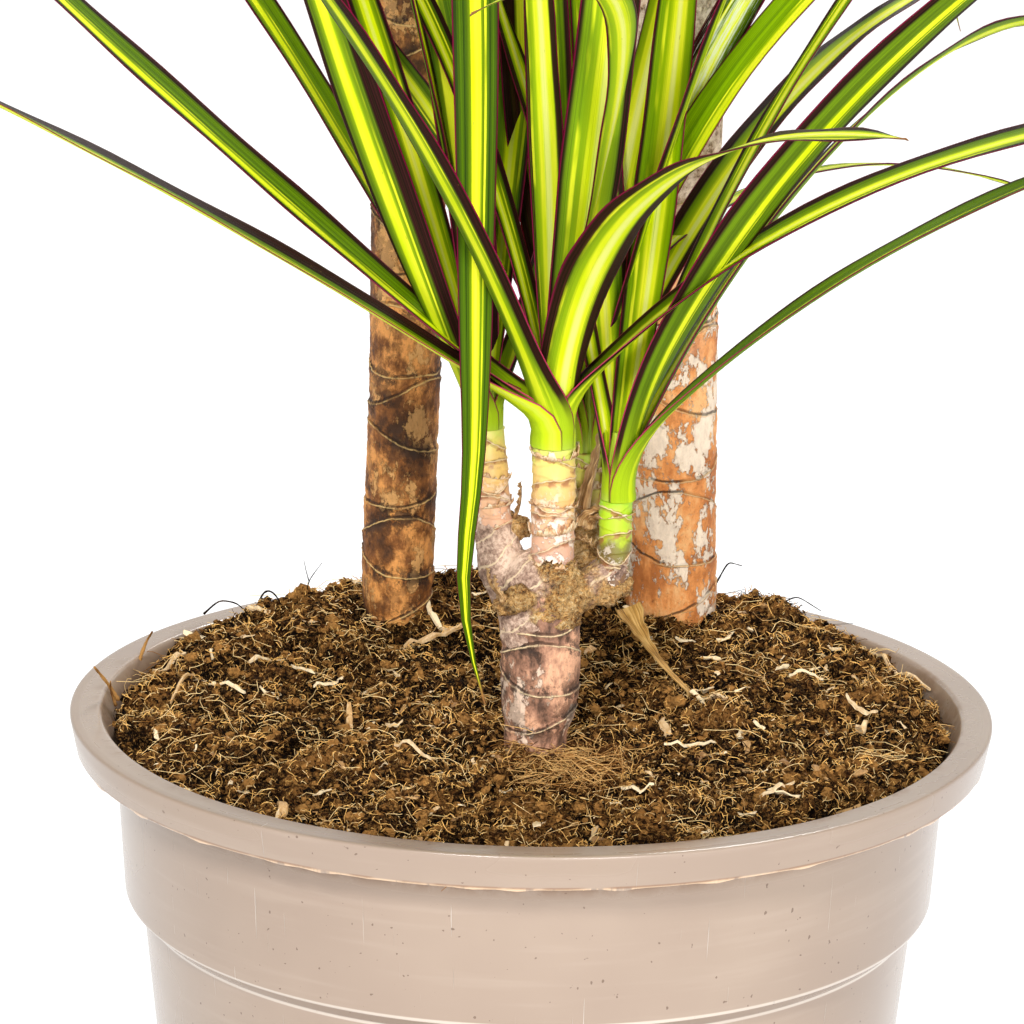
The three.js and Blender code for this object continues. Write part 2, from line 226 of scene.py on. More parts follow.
class Wire:
    __add__, __radd__ = operator("ADD")
    __sub__, __rsub__ = operator("SUBTRACT")
    __mul__, __rmul__ = operator("MULTIPLY")
    __truediv__, __rtruediv__ = operator("DIVIDE")
    __pow__, __rpow__ = operator("POWER")

    def __init__(self, graph, socket):
        self.graph = graph
        self.socket = socket

    def __getitem__(self, name):
        """Another output of the same node."""
        return Wire(self.graph, next(s for s in self.socket.node.outputs if s.enabled and s.name == name))

    def __neg__(self):
        return self * -1

    def __abs__(self):
        return self.graph.math("ABSOLUTE", self)

    def rise(self, low, high):
        """0 below low, 1 above high, smooth between."""
        ends = {"From Min": low, "From Max": high, "Value": self}
        return self.graph.add("ShaderNodeMapRange", {"interpolation_type": "SMOOTHSTEP"}, ends)

    def fall(self, low, high):
        return 1 - self.rise(low, high)

    def noise(self, scale, detail=3, roughness=0.5):
        """Noise of about 0.5 on average at this place. The scale is in waves for each metre."""
        values = {"Vector": self, "Scale": scale, "Detail": detail, "Roughness": roughness}
        return self.graph.add("ShaderNodeTexNoise", None, values)["Fac"]


# %% A graph that adds nodes
class Graph:
    def __init__(self, tree):
        self.tree = tree

    def add(self, kind, settings=None, values=None):
        """Adds a node: its settings first, then the values or links of its sockets."""
        node = self.tree.nodes.new(kind)
        for name, setting in (settings or {}).items():
            if name == "stops":
                self.set_stops(node.color_ramp, setting)
            else:
                setattr(node, name, setting)
        open_sockets = [s for s in node.inputs if s.enabled]
        for key, value in (values or {}).items():
            named = [s for s in open_sockets if s.name == key]
            self.plug(open_sockets[key] if isinstance(key, int) else named[0], value)
        outputs = [s for s in node.outputs if s.enabled]
        return Wire(self, outputs[0]) if outputs else node

    def set_stops(self, ramp, stops):
        while len(ramp.elements) < len(stops):
            ramp.elements.new(1.0)
        for element, (place, color) in zip(ramp.elements, stops):
            element.position = place
            element.color = (*color, 1.0)

    def plug(self, socket, value):
        if isinstance(value, Wire):
            self.tree.links.new(value.socket, socket)
        elif socket.type == "RGBA" and len(value) == 3:
            socket.default_value = (*value, 1.0)
        else:
            socket.default_value = value

    def is_vector(self, value):
        if isinstance(value, Wire):
            return value.socket.type in ("VECTOR", "RGBA")
        return isinstance(value, tuple)

    def sum_of(self, operation, first, second):
        """A Math node between numbers, a Vector Math node between vectors, or a scaled vector."""
        vectors = [self.is_vector(first), self.is_vector(second)]
        if not any(vectors):
            return self.math(operation, first, second)
        if all(vectors):
            return self.add("ShaderNodeVectorMath", {"operation": operation}, {0: first, 1: second})
        if vectors[1]:
            first, second = second, first
        return self.add("ShaderNodeVectorMath", {"operation": "SCALE"}, {"Vector": first, "Scale": second})

    def math(self, operation, *terms):
        return self.add("ShaderNodeMath", {"operation": operation}, dict(enumerate(terms)))

    def clamp(self, value):
        return self.add("ShaderNodeClamp", None, {"Value": value})

    def parts(self, vector):
        split = self.add("ShaderNodeSeparateXYZ", None, {"Vector": vector})
        return split["X"], split["Y"], split["Z"]

    def join(self, x, y, z):
        return self.add("ShaderNodeCombineXYZ", None, {"X": x, "Y": y, "Z": z})

    def blend(self, share, low, high):
        """A colour between two colours."""
        return self.add("ShaderNodeMix", {"data_type": "RGBA"}, {"Factor": share, "A": low, "B": high})

    def ramp(self, value, stops):
        return self.add("ShaderNodeValToRGB", {"stops": stops}, {"Fac": value})["Color"]

    def attribute(self, name):
        return self.add("ShaderNodeAttribute", {"attribute_name": name})["Fac"]


# %% [markdown]
# Two kinds of graph need a little more. A material keeps the colour that the next coat goes over, and
# ends in a shader. A Geometry Nodes tree has named inputs, stores values on its points, and ends in
# real instances with one material.


# %% A material, laid on in coats
class Paint(Graph):
    """A node material in the making: a colour that others are laid over, and at last a shader."""

    def __init__(self, name):
        self.material = bpy.data.materials.new(name)
        self.material.use_nodes = True
        self.material.node_tree.nodes.clear()
        self.color = None
        super().__init__(self.material.node_tree)

    def place(self):
        return self.add("ShaderNodeTexCoord")["Object"]

    def flat(self):
        """The two directions of the UV map."""
        return self.parts(self.add("ShaderNodeUVMap", {"uv_map": "UVMap"}))[:2]

    def lay(self, share, color):
        self.color = self.blend(share, self.color, color)

    def shader(self, roughness, height=None, depth=0.0, constants=None):
        """A Principled shader. Height is in millimetres, and so is the depth that it is felt at."""
        values = {"Base Color": self.color, "Roughness": roughness, **(constants or {})}
        if height is not None:
            values["Normal"] = self.add("ShaderNodeBump", None, {"Height": height, "Distance": depth * MM})
        return self.add("ShaderNodeBsdfPrincipled", None, values)

    def output(self, shader):
        self.add("ShaderNodeOutputMaterial", None, {"Surface": shader})
        return self.material

    def finish(self, *look):
        return self.output(self.shader(*look))


# %% A Geometry Nodes tree
class Recipe(Graph):
    """A tree with named inputs, which are read as recipe["Density"]."""

    def __init__(self, name, inputs):
        tree = bpy.data.node_groups.new(name, "GeometryNodeTree")
        for label, kind in {"Geometry": "Geometry", **inputs, "Material": "Material"}.items():
            tree.interface.new_socket(label, in_out="INPUT", socket_type="NodeSocket" + kind)
        tree.interface.new_socket("Geometry", in_out="OUTPUT", socket_type="NodeSocketGeometry")
        self.inputs = {s.name: Wire(self, s) for s in tree.nodes.new("NodeGroupInput").outputs if s.name}
        super().__init__(tree)

    def __getitem__(self, name):
        return self.inputs[name]

    def store(self, geometry, name, value, kind="FLOAT", domain="POINT"):
        values = {"Geometry": geometry, "Name": name, "Value": value}
        return self.add("GeometryNodeStoreNamedAttribute", {"data_type": kind, "domain": domain}, values)

    def circle(self, sides, radius):
        sizes = {"Resolution": sides, "Radius": radius}
        return self.add("GeometryNodeCurvePrimitiveCircle", {"mode": "RADIUS"}, sizes)

    def sweep(self, lines, profile):
        """A tube with closed ends along each line."""
        shapes = {"Curve": lines, "Profile Curve": profile, "Fill Caps": True}
        return self.add("GeometryNodeCurveToMesh", None, shapes)

    def move(self, geometry, **where):
        """Sets the position of points, or moves them by an offset."""
        return self.add("GeometryNodeSetPosition", None, {"Geometry": geometry, **where})

    def end(self, geometry):
        """Every tree ends alike: instances made real, and one material set."""
        real = self.add("GeometryNodeRealizeInstances", None, {"Geometry": geometry})
        done = self.add("GeometryNodeSetMaterial", None, {"Geometry": real, "Material": self["Material"]})
        self.add("NodeGroupOutput", None, {"Geometry": done})
        return self.tree


def run_tree(thing, tree, values):
    """Runs a tree on an object and keeps the result as its plain mesh."""
    modifier = thing.modifiers.new(tree.name, "NODES")
    modifier.node_group = tree
    for socket in tree.interface.items_tree:
        if socket.in_out == "INPUT" and socket.name in values:
            modifier[socket.identifier] = values[socket.name]
    apply_modifiers(thing, preserve_all_data_layers=True)


# %% [markdown]
# ## Camera, floor and light
# The rim of the pot is a circle seen as an ellipse, which fixes the camera: it looks down fifteen
# degrees through a long lens from a metre away. The light is a studio's: a world that is white at the
# horizon and dimmer overhead, and three large soft lamps. Shadows stay pale and the plastic picks up
# broad highlights.

# %% The camera
CAMERA_PLACE = Vector((0, -953.7, 500.8)) * MM
CAMERA_DOWN = math.radians(14.995)
CAMERA_TURN = math.radians(0.312)
CAMERA_ROLL = math.radians(1.019)
SENSOR = 36
FOCAL = 153.5

ahead = Vector((-math.sin(CAMERA_TURN), math.cos(CAMERA_TURN), 0)) * math.cos(CAMERA_DOWN)
ahead.z = -math.sin(CAMERA_DOWN)
right = Vector((math.cos(CAMERA_TURN), math.sin(CAMERA_TURN), 0))
above = right.cross(ahead)
level_right = right * math.cos(CAMERA_ROLL) + above * math.sin(CAMERA_ROLL)
level_above = above * math.cos(CAMERA_ROLL) - right * math.sin(CAMERA_ROLL)
lens = bpy.data.cameras.new("camera")
lens.sensor_width = SENSOR
lens.lens = FOCAL
camera = placed("camera", lens)
axes = Matrix((level_right, level_above, -ahead)).transposed()
camera.matrix_world = Matrix.Translation(CAMERA_PLACE) @ axes.to_4x4()
bpy.context.scene.camera = camera
print("camera height over the floor:", round(CAMERA_PLACE.z / MM), "mm")

# %% Floor, world and lamps
FAR = 60000

floor_corners = [(-FAR, -FAR, 0), (FAR, -FAR, 0), (FAR, FAR, 0), (-FAR, FAR, 0)]
floor = mesh_object("floor", floor_corners, [(0, 1, 2, 3)])
floor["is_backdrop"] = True
paint = Paint("pale floor")
paint.color = (0.25, 0.25, 0.25)
glow = {"Emission Color": (1, 1, 1), "Emission Strength": 0.92}
floor.data.materials.append(paint.finish(0.9, None, 0, glow))

world = bpy.data.worlds.new("studio")
world.use_nodes = True
walls = Graph(world.node_tree)
_, _, up = walls.parts(walls.add("ShaderNodeTexCoord")["Generated"])
background = world.node_tree.nodes["Background"]
background.inputs["Color"].default_value = (1, 1, 1, 1)
walls.plug(background.inputs["Strength"], 1.0 - up.rise(0.2, 0.5) * 0.66)
bpy.context.scene.world = world
bpy.context.scene.view_settings.view_transform = "Standard"


def soft_lamp(name, place, target, size, power):
    lamp = bpy.data.lights.new(name, "AREA")
    lamp.shape = "DISK"
    lamp.size = size * MM
    lamp.energy = power
    thing = placed(name, lamp)
    away = Vector(place) - Vector(target)
    thing.location = Vector(place) * MM
    thing.rotation_euler = away.to_track_quat("Z", "Y").to_euler()


soft_lamp("key", (-350, -1450, 1350), (0, 0, 220), 420, 23)
soft_lamp("fill", (420, -1400, 520), (0, 0, 230), 500, 14)
soft_lamp("rim light", (250, 1200, 1500), (0, 0, 300), 500, 22)

# %% [markdown]
# ## The pot
# A nursery pot is one shot of polypropylene: a thin wall with a step where pots nest, a flat rim and
# a skirt that hangs from it. A lathe gives all of it from one outline. The skirt's foot is where the
# mould parts, so it carries a ragged pale flash. Its points are drawn down unevenly after the lathe,
# and the wall over the step is pulled a little out of round.

# %% The pot's outline
POT_HEIGHT = 200
RIM_RADIUS = 105
RIM_INNER = 98
SKIRT_FOOT = POT_HEIGHT - 8
SKIRT_RADIUS = 103.5
SKIRT_WALL = 1.5
NECK_RADIUS = 94.6
NECK_LEVEL = POT_HEIGHT - 10
STEP_RADIUS = 92.6
STEP_TOP = POT_HEIGHT - 42.3
LOWER_RADIUS = 88.7
STEP_FOOT = STEP_TOP - 3.5
BASE_RADIUS = 73.5
POT_WALL = 1.6
POT_SIDES = 288


def rounded(corners, radius, pieces=4):
    """The same outline with its inner corners cut to short arcs of about that radius."""
    path = [corners[0]]
    for before, corner, after in zip(corners, corners[1:], corners[2:]):
        before, corner, after = map(np.array, (before, corner, after))
        reach = min(radius, np.linalg.norm(before - corner) / 2.2, np.linalg.norm(after - corner) / 2.2)
        first = corner + (before - corner) / np.linalg.norm(before - corner) * reach
        last = corner + (after - corner) / np.linalg.norm(after - corner) * reach
        for step in range(pieces + 1):
            share = step / pieces
            path.append(mix(mix(first, corner, share), mix(corner, last, share), share))
    return [*path, corners[-1]]


def held(path, reach=0.6):
    """The same outline with points close to both ends of each long stretch, which keeps it flat."""
    kept = [path[0]]
    for before, after in zip(path, path[1:]):
        before, after = np.array(before, float), np.array(after, float)
        length = np.linalg.norm(after - before)
        if length > 3 * reach:
            kept += [mix(before, after, reach / length), mix(before, after, 1 - reach / length)]
        kept.append(after)
    return kept


pot_outline = held(rounded([
    (0, 0), (BASE_RADIUS, 0), (LOWER_RADIUS, STEP_FOOT), (STEP_RADIUS, STEP_TOP), (NECK_RADIUS, NECK_LEVEL),
    (RIM_INNER, POT_HEIGHT - 2.6), (RIM_RADIUS - 2.6, POT_HEIGHT - 2.2),
    (SKIRT_RADIUS - SKIRT_WALL, SKIRT_FOOT), (SKIRT_RADIUS, SKIRT_FOOT),
    (RIM_RADIUS, POT_HEIGHT), (RIM_INNER, POT_HEIGHT), (NECK_RADIUS - POT_WALL, NECK_LEVEL - 0.6),
    (STEP_RADIUS - POT_WALL, STEP_TOP - 0.6), (LOWER_RADIUS - POT_WALL, STEP_FOOT - 0.6),
    (BASE_RADIUS - POT_WALL, POT_WALL), (0, POT_WALL),
], 0.8))
print("pot outline:", len(pot_outline), "points")


# %% Turning the outline
def lathe(name, outline, sides):
    """Turns an outline that starts and ends on the axis."""
    radii, levels = np.array(outline[1:-1]).T
    rings = [ring_of((0, 0), radius, angles(sides), level) for radius, level in zip(radii, levels)]
    return tube(name, rings, levels)


pot = lathe("nursery_pot", pot_outline, POT_SIDES)
pot_points = np.array([v.co for v in pot.data.vertices]) / MM
angle = np.arctan2(pot_points[:, 1], pot_points[:, 0])
ragged = 0.25 * np.sin(23 * angle + 2 * np.sin(5 * angle)) + 0.2 * np.sin(61 * angle + 1)
at_foot = np.abs(pot_points[:, 2] - SKIRT_FOOT) < 0.5
at_foot &= np.hypot(pot_points[:, 0], pot_points[:, 1]) > SKIRT_RADIUS - 0.8
pot_points[at_foot, 2] += np.minimum(0, ragged[at_foot])
warp = 0.25 * np.sin(2 * angle + 1) + 0.12 * np.sin(5 * angle)
pot_points[:, :2] *= (1 + warp / RIM_RADIUS * (pot_points[:, 2] > STEP_TOP))[:, None]
pot.data.vertices.foreach_set("co", (pot_points * MM).astype(np.float32).ravel())

# %% Drain holes
DRAIN_HOLES = 8
DRAIN_RADIUS = 5
DRAIN_CIRCLE = 55
PLUG_FOOT = -3
PLUG_HEIGHT = 8

cutters = bpy.data.collections.new("plugs")
for hole in range(DRAIN_HOLES):
    toward = TURN * (hole + 0.5) / DRAIN_HOLES
    middle = (DRAIN_CIRCLE * math.cos(toward), DRAIN_CIRCLE * math.sin(toward))
    ring = ring_of(middle, DRAIN_RADIUS, angles(32), PLUG_FOOT)
    cutters.objects.link(tube(f"plug_{hole}", [ring, ring + (0, 0, PLUG_HEIGHT)], [0, PLUG_HEIGHT]))
cut = pot.modifiers.new("drain holes", "BOOLEAN")
cut.operand_type = "COLLECTION"
cut.collection = cutters
cut.solver = "EXACT"
apply_modifiers(pot)
for plug in list(cutters.objects):
    bpy.data.objects.remove(plug)


# %% [markdown]
# Satin polypropylene has a faint orange peel, a few scratches from nesting and fine dark specks. Soil
# has smudged the rim, more on its inside. All of it comes from noise on the object's own coordinates,
# which are in metres, stretched where a mark has a direction.


# %% The pot's plastic
FLASH_LEVEL = SKIRT_FOOT * MM
STEP_LINE = 155.85 * MM
STEP_HALF = 1.85 * MM


def plastic_finish():
    paint = Paint("taupe plastic")
    place = paint.place()
    x, y, z = paint.parts(place)
    radius = paint.math("SQRT", x * x + y * y)
    angle = paint.math("ARCTAN2", y, x)
    cloud = place.noise(18, 3)
    round_band = paint.join(angle * 2, z * 260, 0.3).noise(1.4, 2)
    paint.color = paint.blend(cloud.rise(0.3, 0.7), (0.310, 0.230, 0.176), (0.352, 0.267, 0.205))
    paint.lay(round_band.rise(0.5, 0.8) * 0.25, (0.43, 0.34, 0.27))
    scratch = paint.join(angle * 5, z * 8, radius * 20).noise(9, 1)
    fine = paint.join(angle * 90, z * 14, 1.7).noise(2.2, 2)
    scratches = fine.rise(0.70, 0.74) * scratch.rise(0.52, 0.6)
    paint.lay(scratches * 0.45, (0.70, 0.62, 0.55))
    speck = place.noise(700, 1).rise(0.74, 0.77)
    paint.lay(speck * 0.75, (0.12, 0.07, 0.045))
    flash_line = abs(z - FLASH_LEVEL).fall(0.0003, 0.0008)
    flash_place = radius.rise(0.1015, 0.1022)
    flash = flash_line * flash_place * paint.join(angle * 14, 0.5, 2.0).noise(3, 3).rise(0.34, 0.46)
    paint.lay(flash, (0.66, 0.46, 0.30))
    over_flash = z - FLASH_LEVEL
    grime_line = over_flash.rise(0.0001, 0.0005) * over_flash.fall(0.0006, 0.0010) * flash_place
    paint.lay(grime_line * place.noise(90, 4).rise(0.38, 0.55) * 0.7, (0.20, 0.10, 0.05))
    # Painted highlight and shade: a pale line along each lip of the step, where light catches it, and a
    # darker band between them, which faces down.
    from_step = abs(z - STEP_LINE)
    painted_step_highlight = abs(from_step - STEP_HALF).fall(0.0002, 0.0006)
    paint.lay(painted_step_highlight * 0.55, (0.74, 0.65, 0.56))
    painted_step_shade = from_step.fall(0.0011, 0.0016) * 0.22
    paint.lay(painted_step_shade, (0.10, 0.07, 0.05))
    on_rim = z.rise(0.1955, 0.1985) * radius.fall(0.0975, 0.1035)
    smudge = on_rim * place.noise(70, 5, 0.65).rise(0.46, 0.68)
    inside = radius.fall(0.0960, 0.0985) * z.rise(0.186, 0.190) * place.noise(110, 5, 0.7).rise(0.3, 0.55)
    marks = paint.join(angle * 26, radius * 60, 0.4).noise(3, 4, 0.7)
    streaks = on_rim * marks.rise(0.60, 0.68) * place.noise(40, 2).rise(0.42, 0.55)
    skirt_band = radius.rise(0.1025, 0.1035) * z.rise(0.1945, 0.1970) * cloud.rise(0.35, 0.6)
    front = on_rim * (-y).rise(0.02, 0.09) * place.noise(45, 4, 0.6).rise(0.25, 0.6)
    dirt = smudge * 0.55 + streaks * 0.6 + skirt_band * 0.16 + front * 0.66 + inside * 0.85
    dirt = paint.clamp(dirt)
    paint.lay(dirt, (0.19, 0.105, 0.055))
    peel = place.noise(900, 2) * 0.4 + round_band * 0.6
    roughness = 0.21 + cloud * 0.10 + dirt * 0.4 + scratches * 0.2
    height = peel * 0.12 - scratches * 0.3
    coat = {"Coat Weight": 0.25, "Coat Roughness": 0.12, "IOR": 1.49}
    return paint.finish(roughness, height, 0.25, coat)


pot.data.materials.clear()
settle(pot, "pot_plastic", "pot", finish=plastic_finish())

# %% [markdown]
# ## The soil
# Potting soil is fibrous peat: a lumpy bed, crumbs of every size, hair-thin root fibres and pale
# chips of straw. The bed is a fine disc whose height follows the packed soil's own rule with noise
# on top. The loose matter repeats thousands of times, so Geometry Nodes scatter it over the bed.

# %% The bed's height
SOIL_MIDDLE = 198.5
SOIL_TILT = 7
SOIL_MOUND = 4
MOUND_PLACE = (0, 68)
MOUND_REACH = 30
LUMPS = [(2, -69, 8, 3.4), (26, -68, 7, 3.6), (-44, -41, 9, 2.6), (64, -38, 10, 3.4), (58, 71, 9, 4.0),
         (-67, 40, 9, 2.5), (-20, -50, 7, 2.0), (44, -8, 8, 2.0), (80, 10, 8, 3.0), (-78, -20, 8, 2.6),
         (-12, 38, 10, -6.0), (17, 36, 9, -4.0), (-24, 10, 8, -2.5), (2, 82, 8, 3.0), (-55, 62, 8, 3.0),
         (-14, -24, 6, -3.0), (18, -34, 6, -2.0), (70, 66, 5, 2.5), (-38, 78, 5, 2.0), (6, -33, 6, -1.5)]


def soil_height(x, y):
    """The packed soil's surface."""
    wall = NECK_RADIUS - POT_WALL
    away = math.hypot(x - MOUND_PLACE[0], y - MOUND_PLACE[1])
    mound = SOIL_MOUND * math.exp(-((away / MOUND_REACH) ** 2))
    lumps = math.sin(x * 0.17 + 1) * math.cos(y * 0.21) + 0.6 * math.sin(x * 0.31 - y * 0.27)
    edge = max(0, math.hypot(x, y) / wall - 0.86) / 0.14
    return SOIL_MIDDLE + SOIL_TILT * y / wall + mound + 1.2 * lumps - edge * edge * (3 if y > 0 else 1.2)


def bed_height(x, y):
    """The bed with its lumps and hollows."""
    height = soil_height(x, y)
    for lump_x, lump_y, reach, rise in LUMPS:
        height += rise * math.exp(-(((x - lump_x) ** 2 + (y - lump_y) ** 2) / reach**2))
    height += 2.2 * noise.fractal(Vector((x, y, 3)) / 13, 1.0, 2.0, 3)
    return height + 1.8 * noise.fractal(Vector((x, y, 9)) / 4.2, 0.8, 2.1, 4)


# %% The bed
BED_RINGS = 150
BED_SIDES = 400
BED_GAP = 0.6
NEAR_WALL = 95
WALL_SLOPE = (RIM_INNER - NECK_RADIUS + POT_WALL) / (POT_HEIGHT - NECK_LEVEL + 0.6)


def bed_edge(x, y):
    """How far the bed reaches in a direction: up to the pot's wall, which widens to the rim."""
    level = soil_height(NEAR_WALL * x, NEAR_WALL * y)
    raised = min(9, max(0, level - NECK_LEVEL - 0.9))
    return NECK_RADIUS - POT_WALL + raised * WALL_SLOPE - BED_GAP


across = np.stack([np.cos(angles(BED_SIDES)), np.sin(angles(BED_SIDES))], -1)
wall_levels = [(BASE_RADIUS - POT_WALL - 0.4, 2.2), (LOWER_RADIUS - POT_WALL - 0.6, STEP_FOOT - 0.8),
               (STEP_RADIUS - POT_WALL - 0.6, STEP_TOP), (NECK_RADIUS - POT_WALL - 0.7, 187)]
rings = [[(*(radius * xy), level) for xy in across] for radius, level in wall_levels]
for ring in range(BED_RINGS):
    share = (1 - ring / BED_RINGS) ** 0.85
    spots = [bed_edge(*xy) * share * xy for xy in across]
    rings.append([(*spot, bed_height(*spot)) for spot in spots])
bed = tube("peat_bed", rings, np.arange(len(rings)))
# Painted shade: the bed is darker where it lies below the packed soil's surface, in its hollows, and lighter
# where it rises over it.
raised = [(z - soil_height(x, y)) / 7 + 0.45 for ring in rings for x, y, z in ring]
write(bed, "shade", np.clip(raised, 0, 1))
print("bed surface:", round(min(r[2] for r in rings[5])), "to", round(max(r[2] for r in rings[60])), "mm")

# %% [markdown]
# Seen close, peat is felt: dark crumbs with golden threads through it. A thread is the line where a
# stretched noise crosses its middle value, so thin curved lines cost one noise and one subtraction.


# %% The soil's colours
THREAD_SCALE = 1100
THREAD_WIDTH = 0.05


def threads_of(place):
    """Fine curved lines, some lying one way and some the other."""
    mask = place.noise(160, 2).rise(0.42, 0.58)
    one_way = (place * (1.0, 0.22, 0.7)).noise(THREAD_SCALE, 2, 0.7)
    other_way = (place * (0.22, 1.0, 0.7) + (3.0, 0.0, 1.0)).noise(THREAD_SCALE, 2, 0.7)
    first = abs(one_way - 0.5).fall(0.0, THREAD_WIDTH)
    second = abs(other_way - 0.5).fall(0.0, THREAD_WIDTH)
    return first * mask + second * (1 - mask)


def peat_finish(name, darkest, middle, lightest, thread):
    """Peat from nearly black to tan, darkened by each point's shade: painted shade in the bed's hollows and
    on low loose bits, and a random tone for each loose bit.
    """
    paint = Paint(name)
    place = paint.place()
    coarse = place.noise(90, 4, 0.6)
    fine = place.noise(900, 4, 0.7)
    shade = paint.clamp(coarse * 1.3 + fine * 1.9 + paint.attribute("shade") * 1.3 - 1.90)
    paint.color = paint.ramp(shade, [(0.16, darkest), (0.5, middle), (0.86, lightest)])
    threads = threads_of(place)
    paint.lay(threads * fine.rise(0.40, 0.60) * 0.85, thread)
    bump = fine * 1.2 + threads * 0.5
    return paint.finish(0.95, bump, 1.0, {"Specular IOR Level": 0.05})


BLACK_PEAT = (0.0035, 0.0013, 0.0005)
GOLDEN_THREAD = (0.56, 0.29, 0.085)
peat = peat_finish("peat", BLACK_PEAT, (0.035, 0.013, 0.0035), (0.24, 0.105, 0.028), GOLDEN_THREAD)
settle(bed, "potting_soil", "soil", finish=peat)


# %% Where loose matter lies
LEAST_UPWARD = 0.1
LEAST_LEVEL = 180
WHOLE_BED = 200


def bed_top(name, centre=(0, 0), reach=WHOLE_BED):
    """A copy of the bed's upper faces round a place, to scatter things on."""
    shape = bmesh.new()
    shape.from_mesh(bed.data)
    shape.normal_update()
    outside = []
    for face in shape.faces:
        spot = face.calc_center_median() / MM
        away = math.hypot(spot.x - centre[0], spot.y - centre[1])
        if face.normal.z < LEAST_UPWARD or spot.z < LEAST_LEVEL or away > reach:
            outside.append(face)
    bmesh.ops.delete(shape, geom=outside, context="FACES")
    mesh = bpy.data.meshes.new(name)
    shape.to_mesh(mesh)
    shape.free()
    mesh.attributes.remove(mesh.attributes["shade"])
    return placed(name, mesh)


def scattered(recipe, shape, flatness):
    """Instances of a shape on random points of the bed. One random draw gives each its tone and its lift, so
    the ones that lie higher are lighter, which paints shade on the low ones.
    """

    def chance(number, high=1.0):
        draws = {"Min": 0.0, "Max": high, "Seed": recipe["Seed"] + number}
        return recipe.add("FunctionNodeRandomValue", {"data_type": "FLOAT"}, draws)

    spots = recipe.add("GeometryNodeDistributePointsOnFaces", None, {
        "Mesh": recipe["Geometry"], "Density": recipe["Density"], "Seed": recipe["Seed"],
    })
    # Painted shade: the same draw that darkens a bit also sinks it lower.
    shade = chance(3)
    lift = recipe.join(0.0, 0.0, (shade - 0.4) * recipe["Lift"])
    lifted = recipe.move(recipe.store(spots, "shade", shade), Offset=lift)
    tip = recipe["Tip"]
    turn = recipe.join((chance(1) - 0.5) * tip, (chance(4) - 0.5) * tip, chance(5, TURN))
    size = recipe["Smallest"] + (recipe["Largest"] - recipe["Smallest"]) * chance(2) ** 3
    sizes = recipe.join(size, size, size * flatness)
    return recipe.add("GeometryNodeInstanceOnPoints", None, {
        "Points": lifted, "Instance": shape, "Rotation": turn, "Scale": sizes,
    })


def shaken(recipe, things, *pushes):
    """Makes instances real and moves their points by noise, so that no two stay alike."""
    things = recipe.add("GeometryNodeRealizeInstances", None, {"Geometry": things})
    for scale, reach in pushes:
        values = {"Vector": recipe.add("GeometryNodeInputPosition"), "Scale": scale, "Detail": 2.0}
        rough = recipe.add("ShaderNodeTexNoise", None, values)["Color"]
        things = recipe.move(things, Offset=(rough - (0.5, 0.5, 0.47)) * reach)
    return things


SCATTER_INPUTS = {"Density": "Float", "Seed": "Int", "Smallest": "Float", "Largest": "Float",
                  "Lift": "Float", "Tip": "Float"}


# %% [markdown]
# A crumb is a ball of 20 or 80 faces. Once all are real, a broad and a fine noise push their points
# about, so that no two have the same shape.


# %% Crumbs
def crumb_tree():
    recipe = Recipe("crumbs", {**SCATTER_INPUTS, "Fineness": "Int"})
    ball = recipe.add("GeometryNodeMeshIcoSphere", None, {"Radius": 1.0, "Subdivisions": recipe["Fineness"]})
    crumbs = scattered(recipe, ball, 0.7)
    return recipe.end(shaken(recipe, crumbs, (700.0, 0.0022), (1900.0, 0.0014)))


crumb_nodes = crumb_tree()
crumb_peat = peat_finish("crumb peat", BLACK_PEAT, (0.060, 0.022, 0.0055), (0.42, 0.20, 0.055), GOLDEN_THREAD)
for name, seed, density, smallest, largest, fineness in [
    ("peat_dust", 3, 260000.0, 0.0003, 0.0010, 1),
    ("peat_crumbs", 8, 66000.0, 0.0005, 0.0019, 2),
]:
    crumbs = bed_top(name)
    run_tree(crumbs, crumb_nodes, {
        "Density": density, "Seed": seed, "Smallest": smallest, "Largest": largest,
        "Lift": 0.0012, "Tip": 1.2, "Material": crumb_peat, "Fineness": fineness,
    })
    settle(crumbs, "potting_soil")


# %% [markdown]
# A fibre is a bent line. Noise curls it twice, broadly and finely, and a three-sided thread swept
# along it gives it a body. Most are short felt, some are long roots, and a tuft of hair roots sits
# at the foot of the short cane.


# %% Fibres
def fibre_tree():
    recipe = Recipe("fibres", {**SCATTER_INPUTS, "Thickness": "Float", "Curl": "Float"})
    line = recipe.add("GeometryNodeCurveQuadraticBezier", None, {
        "Resolution": 4, "Start": (-0.5, 0.0, 0.0), "Middle": (0.0, 0.28, 0.14), "End": (0.5, 0.0, 0.02),
    })
    fibres = scattered(recipe, line, 1.0)
    fibres = shaken(recipe, fibres, (150.0, recipe["Curl"]), (620.0, 0.0009))
    return recipe.end(recipe.sweep(fibres, recipe.circle(3, recipe["Thickness"])))


def fibre_finish(name, darkest, middle, lightest):
    paint = Paint(name)
    place = paint.place()
    # The shade attribute is each fibre's own tone and, for scattered fibres, painted shade on the ones that
    # lie low.
    shade = paint.clamp(paint.attribute("shade") * 1.1 + place.noise(120, 3) * 1.2 - 0.70)
    paint.color = paint.ramp(shade, [(0.30, darkest), (0.60, middle), (0.84, lightest)])
    return paint.finish(0.8, None, 0, {"Specular IOR Level": 0.08})


